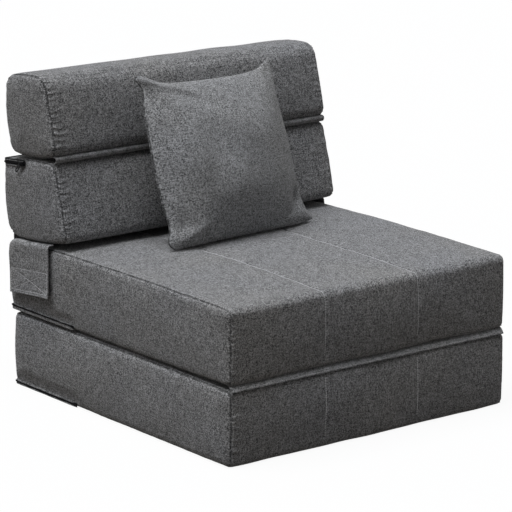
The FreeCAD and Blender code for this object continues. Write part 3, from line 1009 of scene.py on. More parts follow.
@dataclass
class Block:
    """One foam block in its cover: a wrap over four sides and two side panels."""

    name: str
    body: str
    outline: Outline
    pose: BackPose
    seed: int
    quilted: bool = False
    step: float = 0.0068
    side_swells: Pair = (0.009, 0.008)
    gather: float = 0.0021
    fold_length: float = 0.0125
    left_rise: float = 0.0
    quilt_line: float = 0.117
    softness: float = 0.0008
    tables: list[Array] = field(default_factory=list)
    across: Array = field(default_factory=lambda: np.zeros(0))
    gaps: Array = field(default_factory=lambda: np.zeros(0))
    slit: Array = field(default_factory=lambda: np.zeros((0, 3)))

    def across_table(self) -> Array:
        """Stations across the wrap, from its left seam to its right one.

        Returns:
            Rising places in metres, 0 in the middle.
        """
        half = [HALF_SEAM - mark for mark in CLOSE]
        inner = np.linspace(0, half[-1], round(half[-1] / self.step) + 1)[:-1]
        if self.quilted:
            inner = inner[np.abs(inner - self.quilt_line) > QUILT_CLOSE[-1] + 0.002]
            marks = np.array(QUILT_CLOSE)
            inner = np.concatenate([inner, self.quilt_line + marks, self.quilt_line - marks])
        right = np.unique(np.round(np.concatenate([inner, half]), 7))
        return np.concatenate([-right[:0:-1], right])

    def plan(self) -> Cells:
        """Work out the stations of the whole cover.

        Returns:
            Number of cells along X, Y and Z.
        """
        lengths = [self.outline.parts(side)["length"] for side in Side]
        deep = len(spread(max(lengths[0], lengths[2]), self.step, CLOSE)) - 1
        high = len(spread(max(lengths[1], lengths[3]), self.step * 0.45, CLOSE)) - 1
        cells = (deep, high, deep, high)
        self.tables = [spread(length, self.step, CLOSE, count) for length, count in zip(lengths, cells)]
        self.across = self.across_table()
        return len(self.across) - 1, deep, high

    def drawn_in(self, side: Side, x: Array, along: Array, spots: Array) -> Array:
        """How far the cover lies inside its smooth form: seams, quilting and soft unevenness.

        Args:
            side: The side of the wrap.
            x: Places across the wrap.
            along: Distances along the side.
            spots: Points of the smooth form.

        Returns:
            One depth for each point, in metres.
        """
        gap = HALF_SEAM - np.abs(x)
        stitch, stitch_width, roll, roll_width = 0.0014, 0.0012, 0.0015, 0.006
        depth = stitch * bell(gap, stitch_width) + roll * np.exp(-gap / roll_width)
        lane = spots.copy()
        lane[:, 0] = np.sign(x) * 0.4
        tight = np.exp(-gap / 0.012) * (1 - bell(gap, 0.003))
        depth += 0.0007 * tight * ripple(lane, 0.026, 0.014, 14, self.seed + 5)
        if side is Side.FRONT:
            wander = ripple(lane, 0.11, 0.04, 10, self.seed + 11)
            fold = 0.5 + 0.5 * np.sin(along * (TURN / self.fold_length) + 2.2 * wander + gap * 60)
            reach = np.clip(1 - gap / (0.027 + 0.007 * wander), 0, 1) ** 0.8 * (1 - bell(gap, 0.0025))
            depth -= self.gather * fold ** 1.6 * reach * np.where(x < 0, 1.0, 0.35)
        calm = 1 - 0.6 * np.exp(-gap / 0.02)
        depth += self.softness * calm * ripple(spots, 0.26, 0.08, 16, self.seed)
        if self.quilted and side in (Side.TOP, Side.FRONT):
            depth += self.quilting(side, x, along, spots)
        return depth

    def quilting(self, side: Side, x: Array, along: Array, spots: Array) -> Array:
        """Depth of the two grooves that the quilting rows pull into the top and the front.

        Args:
            side: The side of the wrap.
            x: Places across the wrap.
            along: Distances along the side.
            spots: Points of the smooth form.

        Returns:
            One depth for each point, in metres.
        """
        fade = np.clip(along / 0.02, 0, 1) * (1.0 if self.name == "seat" else 0.5)
        if side is Side.TOP:
            fade = np.clip((self.outline.parts(side)["length"] - along) / 0.04, 0, 1)
        off = np.abs(x) - self.quilt_line
        pull = 1 + 0.35 * ripple(spots[:, :2] + spots[:, 2:], 0.05, 0.02, 8, self.seed + 9)
        groove, groove_width, valley, valley_width = 0.0022, 0.0026, 0.0010, 0.011
        return fade * (groove * bell(off, groove_width) + valley * bell(off, valley_width) * pull)

    def skin(self, side: Side, x: Array, along: Array, inset: float = 0.0) -> tuple[Array, Array]:
        """Surface of the wrap.

        Args:
            side: The side of the wrap.
            x: Places across the wrap.
            along: Distances along the side.
            inset: How far inside the cover's outer face.

        Returns:
            Points and outward directions in the block's own frame.
        """
        spots, facing, share = self.outline.trace(side, along)
        seam_share = self.outline.seam_shares[side.value]
        fall = (np.minimum(np.abs(x), HALF_SEAM) / HALF_SEAM) ** 2
        crown = seam_share + (1 - seam_share) * (1 - fall)
        swell = self.outline.swells[side.value] * MM * crown * share
        flat = np.column_stack([x, spots + facing * (swell - inset)[:, None]])
        depth = np.zeros_like(x) if inset else self.drawn_in(side, x, along, flat)
        outward = np.column_stack([np.zeros_like(x), facing])
        flat = flat - outward * depth[:, None]
        low, high = (self.outline.corners[corner][1] * MM for corner in (1, 2))
        taller = self.left_rise * (0.5 - x / (2 * HALF_SEAM))
        flat[:, 2] += taller * np.clip((flat[:, 2] - low) / (high - low), 0, 1)
        if self.name == "base":
            flat[:, 2] = np.maximum(flat[:, 2], FLOOR_GAP + inset)
        return flat, outward

    def sides(self, cells: Cells, place: Array, grid: Array) -> Iterator[tuple[Side, Array, Array]]:
        """Sort points of the cover by the wrap's sides.

        Args:
            cells: Number of cells along each axis.
            place: Grid places that tell a point's side.
            grid: The points' own grid numbers.

        Yields:
            Each side, which points are on it, and how far along it each of them lies.
        """
        near = 1e-6
        (_, deep, high), (_, y, z) = place.T, grid.T
        for side, chosen, station in (
                (Side.BOTTOM, high < near, cells[1] - y), (Side.FRONT, deep < near, z),
                (Side.TOP, high > cells[2] - near, y), (Side.REAR, deep > cells[1] - near, cells[2] - z)):
            yield side, chosen, self.tables[side.value][station[chosen]]

    def mapped(self, piece: bpy.types.Object, cells: Cells, inset: float = 0.0) -> Array:
        """Put a gridded cube's vertices on the block's surface.

        Args:
            piece: The gridded cube.
            cells: Its number of cells along each axis.
            inset: How far inside the cover's outer face.

        Returns:
            Each vertex's grid numbers.
        """
        grid = np.rint((points_of(piece) + 1) / 2 * np.array(cells)).astype(int)
        spots = np.zeros((len(grid), 3))
        for side, chosen, along in self.sides(cells, grid, grid):
            x = self.across[grid[chosen, 0]] * (1 - inset / HALF_SEAM)
            spots[chosen], _ = self.skin(side, x, along, inset)
        for end, sign in ((0, -1), (cells[0], 1)):
            self.fill_end(spots, grid, cells, end, sign, inset)
        move_to(piece, spots)
        return grid

    def fill_end(
            self, spots: Array, grid: Array, cells: Cells, end: int, sign: int, inset: float) -> None:
        """Stretch a side panel over the ring that the wrap leaves at one end.

        Args:
            spots: Points of all vertices, changed in place.
            grid: Each vertex's grid numbers.
            cells: Number of cells along each axis.
            end: Grid number of the end.
            sign: -1 on the left, 1 on the right.
            inset: How far inside the cover's outer face.
        """
        here = np.flatnonzero(grid[:, 0] == end)
        table = np.zeros((cells[1] + 1, cells[2] + 1), int)
        table[grid[here, 1], grid[here, 2]] = here
        ring = spots[table][:, :, 1:]
        low, high, front, rear = ring[:, 0], ring[:, -1], ring[0], ring[-1]
        deep = (low[:, 0] - low[0, 0]) / (low[-1, 0] - low[0, 0])
        up = (front[:, 1] - front[0, 1]) / (front[-1, 1] - front[0, 1])
        deep, up = deep[:, None, None], up[None, :, None]
        body = (1 - up) * low[:, None] + up * high[:, None] + (1 - deep) * front[None] + deep * rear[None]
        body -= (1 - deep) * (1 - up) * low[0] + deep * (1 - up) * low[-1]
        body -= (1 - deep) * up * high[0] + deep * up * high[-1]
        edge = np.concatenate([low, high, front, rear])
        inner = body[1:-1, 1:-1].reshape(-1, 2)
        gap = np.sqrt(((inner[:, None] - edge[None]) ** 2).sum(axis=2)).min(axis=1)
        swell = self.side_swells[0 if sign < 0 else 1]
        rise = 0.45 * swell * (1 - (1 - np.minimum(1, gap / 0.012)) ** 3)
        rise += 0.55 * swell * (1 - (1 - np.minimum(1, gap / 0.07)) ** 2)
        flat = np.column_stack([np.full(len(inner), sign * 0.7), inner])
        if not inset and sign < 0 and len(self.slit):
            away = np.maximum(np.abs(inner[:, 1] - self.slit[0, 2]) - 0.008, 0)
            away += np.maximum(self.slit[0, 1] - inner[:, 0] - 0.002, 0)
            rise = np.minimum(rise, 0.0018 + away * 0.33)
        if not inset:
            tight = np.exp(-gap / 0.012) * (1 - bell(gap, 0.003))
            rise += 0.0006 * tight * ripple(flat, 0.024, 0.014, 14, self.seed + 7)
            rise += self.softness * np.minimum(1, gap / 0.03) * ripple(flat, 0.22, 0.07, 16, self.seed + 3)
            rise -= 0.0012 * bell(gap, 0.0012)
        chosen = table[1:-1, 1:-1].ravel()
        spots[chosen, 0] = sign * (HALF_SEAM - inset + rise)
        spots[chosen, 1:] = inner
        if not inset:
            spots[np.setdiff1d(here, chosen), 0] = sign * (HALF_SEAM - 0.0008)
            self.gaps[chosen] = gap

    def cloth_runs(self, piece: bpy.types.Object, grid: Array, cells: Cells) -> None:
        """Map the weave along the wrap and over the side panels.

        Args:
            piece: The whole cover.
            grid: Each vertex's grid numbers.
            cells: Number of cells along each axis.
        """
        corners = corner_points(piece)
        faces = np.repeat(np.arange(len(piece.data.polygons)), 4)
        middle = np.zeros((len(piece.data.polygons), 3))
        np.add.at(middle, faces, grid[corners] / 4)
        middle = middle[faces]
        spots = points_of(piece)[corners]
        chart = spots[:, 1:].copy()
        starts = np.concatenate([[0], np.cumsum([table[-1] for table in self.tables])])
        for side, chosen, along in self.sides(cells, middle, grid[corners]):
            chart[chosen, 0] = spots[chosen, 0]
            chart[chosen, 1] = starts[side.value] + along
        set_run(piece, chart)

    def build(self) -> None:
        """Make the foam core, the wrap and the two side panels."""
        cells = self.plan()
        whole = gridded_cube(self.name + "_wrap", cells)
        self.gaps = np.zeros(len(whole.data.vertices))
        course, _ = Zipper(self).course()
        self.slit = course[course[:, 0] < -HALF_SEAM]
        grid = self.mapped(whole, cells)
        wrap_points = (grid[:, 0] > 0) & (grid[:, 0] < cells[0])
        self.gaps[wrap_points] = HALF_SEAM - np.abs(self.across[grid[wrap_points, 0]])
        if self.quilted:
            # Painted highlight beside the quilting rows: their seam gap never falls under about 5 mm, so the
            # cloth paints them lighter without the painted crease shade.
            shown = wrap_points & ((grid[:, 2] == cells[2]) | (grid[:, 1] == 0))
            off = np.abs(np.abs(self.across[grid[:, 0]]) - self.quilt_line) + 0.0034
            self.gaps[shown] = np.minimum(self.gaps[shown], off[shown] * 1.6)
        self.cloth_runs(whole, grid, cells)
        move_to(whole, self.pose.world(points_of(whole)))
        set_gap(whole, self.gaps)
        left = (grid[corner_points(whole).reshape(-1, 4), 0] == 0).all(axis=1)
        made = {"left_panel": split_off(whole, left, self.name + "_left_side")}
        right = points_of(whole)[:, 0] > HALF_SEAM - 0.0009
        right = right[corner_points(whole).reshape(-1, 4)].all(axis=1)
        made["right_panel"] = split_off(whole, right, self.name + "_right_side")
        made["wrap"] = whole
        wrap_cloth = LAYER_CLOTH if self.quilted else None
        for role, piece in made.items():
            apply_solid(piece, CLOTH_WALL, -1.0)
            smooth(piece)
            dress(piece, Finish.COVER, wrap_cloth if role == "wrap" else SIDE_CLOTH)
            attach(piece, self.body)
            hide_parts(f"{self.name}_cover_{role}")
            report(piece, self.body)
        self.build_core()

    def build_core(self) -> None:
        """Make the foam core that fills the cover."""
        fine, quilted = self.step, self.quilted
        self.step, self.quilted = 0.03, False
        cells = self.plan()
        core = gridded_cube(self.name + "_foam", cells)
        self.mapped(core, cells, inset=0.0055)
        move_to(core, self.pose.world(points_of(core)))
        smooth(core, 50)
        dress(core, Finish.FOAM)
        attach(core, self.body)
        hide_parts(f"{self.name}_foam_core")
        report(core, self.body)
        self.step, self.quilted = fine, quilted
        self.plan()


# Thread


@dataclass(frozen=True)
class Needle:
    """Sews rows of short stitches."""

    pitch: float = 0.0045
    length: float = 0.0034
    thick: float = 0.0009

    def stitch(self) -> tuple[Array, Faces]:
        """Model one stitch along X, lying on the plane Z = 0.

        Returns:
            Its points and faces.
        """
        nothing_selected()
        bpy.ops.mesh.primitive_uv_sphere_add(segments=6, ring_count=5, radius=1)
        with editing():
            bpy.ops.transform.resize(value=(self.length / 2, self.thick / 2, self.thick / 2))
        return taken_model()

    def sew(self, name: str, rows: Iterable[tuple[Array, Array]]) -> bpy.types.Object:
        """Sew rows of stitches into one piece.

        Args:
            name: Name of the piece.
            rows: For each row, dense points along it and their outward directions.

        Returns:
            The piece.
        """
        near = 0.0005
        origins, ways = [], []
        for path, outward in rows:
            run = run_of(path)
            marks = np.arange(self.pitch / 2, run[-1], self.pitch)
            way = unit(read_off(marks + near, run, path) - read_off(marks - near, run, path))
            out = read_off(marks, run, outward)
            out = unit(out - way * (out * way).sum(axis=1)[:, None])
            origins.append(read_off(marks, run, path))
            ways.append(np.stack([way, np.cross(out, way), out], axis=1))
        piece = copies(name, self.stitch(), np.concatenate(origins), np.concatenate(ways))
        smooth(piece)
        return piece


# Hinge strips


@dataclass
class HingeStrip:
    """Folded fabric strip that hinges one block on the next."""

    name: str
    node: str
    upper: str
    lower: str
    profile: tuple[Pair, ...]
    half_length: float = 0.3445
    wall: float = CLOTH_WALL
    seed: int = 3
    stations: int = 60
    height: float = 0.0

    def path(self) -> Array:
        """Rounded course of the strip from its upper edge to its lower one, as (y, z) in metres.

        Returns:
            One row for each station.
        """
        line = rounded(self.profile, 3)
        run = run_of(line)
        self.height = float(run[-1])
        return read_off(np.linspace(0, self.height, self.stations), run, line)

    def surface(self, x: Array, share: Array, lift: float) -> Array:
        """Points of the strip's outer face, a little uneven along its length.

        Args:
            x: Places along the hinge line.
            share: Shares of the way from the upper edge to the lower one.
            lift: How far the points stand off the strip's middle.

        Returns:
            Points in the common frame.
        """
        y, z = read_off(share, np.linspace(0, 1, self.stations), self.path()).T
        waves = ripple(np.column_stack([x, x * 0]), 0.16, 0.03, 10, self.seed)
        return np.column_stack([x, y - lift + 0.0006 * waves * np.sin(math.pi * share), z])

    def build(self) -> None:
        """Make the strip and its two rows of stitches."""
        nothing_selected()
        bpy.ops.mesh.primitive_grid_add(x_subdivisions=138, y_subdivisions=12, size=2)
        strip = named(self.name)
        flat = points_of(strip)
        share = (1 - flat[:, 1]) / 2
        x = flat[:, 0] * self.half_length
        move_to(strip, self.surface(x, share, 0.0))
        corners = corner_points(strip)
        set_run(strip, np.column_stack([x, share * self.height])[corners])
        set_gap(strip, np.minimum(share, 1 - share) * self.height + 0.0005)
        apply_solid(strip, self.wall, 0.0)
        face_outwards(strip)
        smooth(strip, 50)
        dress(strip, Finish.STRIP)
        count = 300
        reach = self.half_length - 0.003
        across = np.linspace(-reach, reach, count)
        rows = []
        for share_at in (0.16, 0.84):
            row = self.surface(across, np.full(count, share_at), self.wall / 2 + 0.0002)
            rows.append((row, np.tile([0.0, -1.0, 0.2], (count, 1))))
        seam = Needle().sew(self.name + "_stitches", rows)
        dress(seam, Finish.STRIP, THREAD)
        start, stop = self.path()[[0, -1]]
        for piece in (strip, seam):
            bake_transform(piece)
            report(piece, self.upper)
        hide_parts(self.node)


# Side straps


@dataclass
class SideStrap:
    """Doubled fabric strap sewn under the lower back block, held to the seat by hook and loop."""

    side: str
    sign: int
    stand: float
    width: float = 0.147
    drop: float = 0.112
    rear: float = -0.020
    root: float = 0.3455
    bend: float = 0.0062
    wall: float = 0.0027
    margin: float = 0.006
    box_top: float = 0.062

    def course(self, share: Array, y: Array) -> tuple[Array, Array, Array, Array]:
        """Middle line of the strap: out of the block's bottom seam, over a bend and down.

        Args:
            share: Share of the way down.
            y: Places along the strap's width.

        Returns:
            X and height of the line, and its outward direction.
        """
        level = self.stand - self.bend - self.root
        quarter = self.bend * math.pi / 2
        way = share * (level + quarter + self.drop - self.bend)
        turn = np.clip((way - level) / self.bend, 0, math.pi / 2)
        x = self.root + np.minimum(way, level) + self.bend * np.sin(turn)
        down = self.bend * (1 - np.cos(turn)) + np.maximum(0, way - level - quarter)
        bottom_rear, bottom_depth, bottom_swell = -0.012, 0.206, 0.0175
        deep = np.clip((bottom_rear - y) / bottom_depth, 0, 1)
        seam = -0.0005 - bottom_swell * deep * (1 - deep)
        z = seam * (1 - share) - 0.0008 - down
        nook = np.clip(1 - (self.rear - y) / 0.022, 0, 1) ** 2 * np.clip(1 - down / 0.03, 0, 1)
        return x - 0.004 * nook, z - 0.010 * nook, np.sin(turn), np.cos(turn)

    def seams(self) -> list[Array]:
        """Lines of the box and cross stitching, as (y, z) in the leant frame.

        Returns:
            The first and last point of each line.
        """
        rear, front = self.rear - self.margin, self.rear - self.width + self.margin
        low, high = -self.drop + self.margin, -self.box_top
        box = [(front, low), (rear, low), (rear, high), (front, high), (front, low)]
        cross = [((front, low), (rear, high)), ((front, high), (rear, low))]
        return [np.array(pair) for pair in (*zip(box[:-1], box[1:]), *cross)]

    def stitched(self, y: Array, z: Array) -> Array:
        """How strongly the stitching pulls the strap in at a place.

        Args:
            y: Places along the strap's width.
            z: Heights.

        Returns:
            Pulls from 0 to 1.
        """
        pull = np.zeros_like(y)
        spot = np.column_stack([y, z])
        for first, last in self.seams():
            run = last - first
            share = np.clip(((spot - first) @ run) / (run @ run), 0, 1)
            gap = np.linalg.norm(spot - first - share[:, None] * run, axis=1)
            pull = np.maximum(pull, bell(gap, 0.0022))
        return pull

    def stand_off(self, deep: Array, share: Array) -> Array:
        """How far the strap curls off the seat: at its front edge and its lower corners.

        Args:
            deep: Shares of the way from the rear edge to the front one.
            share: Shares of the way down.

        Returns:
            Distances in metres.
        """
        front_curl, foot_curl = 0.0060, 0.0040
        front = np.clip((deep - 0.55) / 0.45, 0, 1) ** 2
        return front_curl * front * share + foot_curl * share ** 3

    def build(self) -> None:
        """Make the strap, its stitching and the hook and loop patches."""
        side = f"{self.side}_strap"
        cells = (2, 52, 42)
        flap = gridded_cube(side + "_cloth", cells)
        flat = points_of(flap)
        close = tuple(mark * MM for mark in (0, 0.35, 0.9, 1.8, 3.2, 5.5))
        wide = spread(self.width, 0.003, close, cells[1])
        down = spread(self.drop, 0.0028, close, cells[2])
        grid = np.rint((flat + 1) / 2 * np.array(cells)).astype(int)
        y_run, z_run = wide[grid[:, 1]], down[cells[2] - grid[:, 2]]
        deep = 1 - y_run / self.width
        share = z_run / self.drop
        y = self.rear - self.width + y_run
        edge = np.minimum(np.minimum(y_run, self.width - y_run), self.drop - z_run)
        round_off = np.sqrt(np.clip(1 - (1 - np.minimum(1, edge / 0.0013)) ** 2, 0.06, 1))
        hem = 1 + 0.22 * np.exp(-edge / 0.004)
        x, z, out_x, out_z = self.course(share, y)
        pull = self.stitched(y, z)
        spot = np.column_stack([y, z])
        waves = 0.0005 * ripple(spot, 0.06, 0.02, 12, 11) * np.minimum(1, edge / 0.01)
        lift = self.stand_off(deep, share) + waves + 0.0004 - 0.0006 * pull
        thick = flat[:, 0] * self.wall / 2 * round_off * hem * (1 - 0.35 * pull)
        local = np.column_stack([self.sign * (x + out_x * (lift + thick)), y, z + out_z * thick])
        move_to(flap, LEANT.world(local))
        face_outwards(flap)
        corners = corner_points(flap)
        set_run(flap, np.column_stack([y, z])[corners])
        # Painted light on the strap: the seam gap stays under 5 mm, so the cloth paints the whole strap
        # lighter as a highlight, and paints shade along the box stitching and at the hems, where the gap
        # falls under 2.5 mm.
        set_gap(flap, np.minimum(edge + 0.0012, 0.0009 + 0.004 * (1 - pull)))
        smooth(flap, 60)
        dress(flap, Finish.STRAP)
        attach(flap, side)
        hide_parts(side + "_flap")
        report(flap, side)
        self.build_stitches(side)
        self.build_patches()

    def build_stitches(self, body: str) -> None:
        """Sew the box and the cross in it.

        Args:
            body: The body that the strap rides on.
        """
        count = 40
        rows = []
        for first, last in self.seams():
            line = first + (last - first) * np.linspace(0, 1, count)[:, None]
            share = -line[:, 1] / self.drop
            deep = (self.rear - line[:, 0]) / self.width
            lift = self.stand_off(deep, share)
            x = self.stand + lift + self.wall * 0.36 + 0.0003
            local = np.column_stack([self.sign * x, line])
            rows.append((LEANT.world(local), np.tile([float(self.sign), 0.0, 0.0], (count, 1))))
        seam = Needle(0.0048, 0.0042, 0.0012).sew(body + "_stitches", rows)
        dress(seam, Finish.STRAP, THREAD)
        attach(seam, body)
        report(seam, body)

    def build_patches(self) -> None:
        """Make the hook patch under the strap and the loop patch on the seat."""
        length, height = 0.127, 0.045
        front, low = self.rear - self.width + 0.010, -self.drop + 0.004
        strap = f"{self.side}_strap"
        plates = (
            (f"{self.side}_hook_patch", f"{strap}_hook_patch", strap, 0.0028, 0.0013),
            (f"{self.side}_loop_patch", f"{self.side}_seat_loop_patch", "seat", 0.0046, 0.0030),
        )
        for name, node, body, *depths in plates:
            inner, outer = (self.stand - depth for depth in depths)
            patch = gridded_cube(name, (2, 24, 10))
            flat = points_of(patch)
            edge = (1 - np.maximum(np.abs(flat[:, 1]) ** 14, np.abs(flat[:, 2]) ** 8)) * 0.75 + 0.25
            x = (inner + outer) / 2 + flat[:, 0] * (outer - inner) / 2 * edge
            y = front + (flat[:, 1] + 1) / 2 * length
            z = low + (flat[:, 2] + 1) / 2 * height
            move_to(patch, LEANT.world(np.column_stack([self.sign * x, y, z])))
            face_outwards(patch)
            smooth(patch, 40)
            dress(patch, Finish.PILE)
            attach(patch, body)
            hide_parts(node)
            report(patch, body)


# Zippers


@dataclass
class Zipper:
    """Closed coil zipper of one block: woven tape and nylon teeth; the slider and pull are CAD nodes."""

    block: Block
    lips: Pair = (0.0040, -0.0040)
    lip_half: float = 0.0024
    tape_top: float = 0.0042
    tape_bottom: float = 0.0042
    corner: float = 0.005
    tooth: tuple[float, float, float] = (0.0011, 0.0030, 0.0019)
    pitch: float = 0.0020

    def course(self) -> tuple[Array, Array]:
        """Middle line of the coil in the block's own frame, from its left end to its right end.

        Returns:
            Points and outward directions.
        """
        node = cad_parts[self.block.name + "_zipper_teeth"]
        spots = np.array([node.matrix_world @ vertex.co for vertex in node.data.vertices])
        local = self.block.pose.local(spots)
        low, high = local.min(axis=0), local.max(axis=0)
        radius, shortest_wrap = 0.002, 0.02
        z = (low[2] + high[2]) / 2
        x0, x1, y1 = low[0] + radius, high[0], high[1] - radius
        if high[1] - low[1] < shortest_wrap:
            marks, outs = [(x0 - radius, y1, z)], [(0.0, 1.0, 0.0)]
        else:
            marks, outs = [(x0, low[1], z)], [(-1.0, 0.0, 0.0)]
            for turn in np.linspace(0, math.pi / 2, 9):
                out = (-math.cos(turn), math.sin(turn), 0.0)
                marks.append((x0 + self.corner * (1 + out[0]), y1 - self.corner * (1 - out[1]), z))
                outs.append(out)
        path, facing = np.array([*marks, (x1, y1, z)]), np.array([*outs, (0.0, 1.0, 0.0)])
        run = run_of(path)
        at = np.arange(self.pitch / 2, run[-1], self.pitch)
        return read_off(at, run, path), unit(read_off(at, run, facing))

    def build(self) -> None:
        """Make the tape and the teeth, and dress the CAD slider and pull."""
        name, body = self.block.name, self.block.body
        spots, outward = self.course()
        tape = self.build_tape(name + "_tape", spots, outward)
        teeth = self.build_teeth(name + "_coil", spots, outward)
        for piece, node in ((tape, "_zipper_tape"), (teeth, "_zipper_teeth")):
            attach(piece, body)
            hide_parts(name + node)
            report(piece, body)
        for place, lift in zip(("upper", "lower"), self.lips):
            lip = self.build_lip(f"{name}_{place}_zip_lip", spots, outward, lift)
            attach(lip, body)
            report(lip, body)
        for part in ("slider", "pull"):
            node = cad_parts[f"{name}_zipper_{part}"]
            for place in node.material_slots:
                place.material = MATERIALS[Finish.METAL]
            smooth(node, 35)

    def build_tape(self, name: str, spots: Array, outward: Array) -> bpy.types.Object:
        """Make the woven tape behind the coil.

        Args:
            name: Name of the piece.
            spots: The coil's middle line.
            outward: Its outward directions.

        Returns:
            The piece.
        """
        nothing_selected()
        count = len(spots)
        bpy.ops.mesh.primitive_grid_add(x_subdivisions=count - 1, y_subdivisions=6, size=2)
        tape = named(name)
        flat = points_of(tape)
        index = np.rint((flat[:, 0] + 1) / 2 * (count - 1)).astype(int)
        height = flat[:, 1] * np.where(flat[:, 1] > 0, self.tape_top, self.tape_bottom)
        local = spots[index] - outward[index] * 0.0006 + height[:, None] * np.array([0.0, 0.0, 1.0])
        move_to(tape, self.block.pose.world(local))
        corners = corner_points(tape)
        set_run(tape, np.column_stack([index * self.pitch, height])[corners])
        apply_solid(tape, 0.0010, 0.0)
        face_outwards(tape)
        smooth(tape, 40)
        dress(tape, Finish.TAPE)
        return tape

    def build_lip(self, name: str, spots: Array, outward: Array, lift: float) -> bpy.types.Object:
        """Make the fold of cover cloth that is topstitched beside the coil.

        Args:
            name: Name of the piece.
            spots: The coil's middle line.
            outward: Its outward directions.
            lift: How far the fold's middle lies above the coil.

        Returns:
            The piece.
        """
        nothing_selected()
        count = len(spots) // 2
        bpy.ops.mesh.primitive_cylinder_add(vertices=10, radius=1, depth=2, end_fill_type="NGON")
        lip = named(name)
        cut_edges(lip, edge_spans(lip)[:, 2] > 1, count - 2)
        flat = points_of(lip)
        last = len(spots) - 1
        place = (flat[:, 2] + 1) / 2 * last
        index = np.clip(np.rint(place).astype(int), 0, last)
        ends_in = np.clip(np.minimum(place, last - place) / 5, 0.15, 1) ** 0.5
        run = index * self.pitch
        wave = 0.0003 * ripple(np.column_stack([run, run * 0]), 0.07, 0.02, 10, int(abs(lift) * 1e5))
        out = -0.0012 + wave + flat[:, 0] * 0.0017 * ends_in
        height = lift + flat[:, 1] * self.lip_half * ends_in
        local = spots[index] + outward[index] * out[:, None]
        local[:, 2] += height
        if self.block.name == "base":
            local[:, 2] = np.maximum(local[:, 2], FLOOR_GAP + 0.0001)
        move_to(lip, self.block.pose.world(local))
        corners = corner_points(lip)
        set_run(lip, np.column_stack([run, height + flat[:, 0] * 0.001])[corners])
        # Painted highlight: a seam gap of 4 mm makes the cloth paint the whole lip about 7% lighter.
        set_gap(lip, np.full(len(flat), 0.004))
        face_outwards(lip)
        smooth(lip, 60)
        dress(lip, Finish.COVER)
        return lip

    def build_teeth(self, name: str, spots: Array, outward: Array) -> bpy.types.Object:
        """Model one tooth, bevelled, and set a copy at each step of the coil.

        Args:
            name: Name of the piece.
            spots: The coil's middle line.
            outward: Its outward directions.

        Returns:
            The piece.
        """
        nothing_selected()
        bpy.ops.mesh.primitive_cube_add(size=1)
        with editing():
            bpy.ops.transform.resize(value=self.tooth)
            bpy.ops.mesh.bevel(offset=0.00035, segments=1, affect="EDGES")
        way = unit(np.gradient(spots, axis=0))
        up = np.cross(way, outward)
        stagger = np.where(np.arange(len(spots)) % 2, 0.00035, -0.00035)[:, None]
        origins = spots + up * stagger + outward * 0.0008
        piece = copies(name, taken_model(), origins, np.stack([way, up, outward], axis=1))
        move_to(piece, self.block.pose.world(points_of(piece)))
        smooth(piece, 40)
        dress(piece, Finish.COIL)
        return piece


# Quilting


def build_quilting(block: Block) -> None:
    """Sew the two quilting rows over a block's top and down its front.

    Args:
        block: The quilted block.
    """
    front, top = (block.outline.parts(side)["length"] for side in (Side.FRONT, Side.TOP))
    runs = ((Side.FRONT, np.linspace(0.02, front, 60)), (Side.TOP, np.linspace(0.0005, top - 0.03, 260)))
    proud = 0.0006
    rows = []
    for x in (-block.quilt_line, block.quilt_line):
        skins = [block.skin(side, np.full(len(along), x), along) for side, along in runs]
        spots, outward = (np.concatenate(part) for part in zip(*skins))
        rows.append((block.pose.world(spots + outward * proud), outward))
    seam = Needle(0.0048, 0.0043, 0.0015).sew(block.name + "_quilting", rows)
    dress(seam, Finish.COVER, THREAD)
    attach(seam, block.body)
    report(seam, block.body)


# Pillow


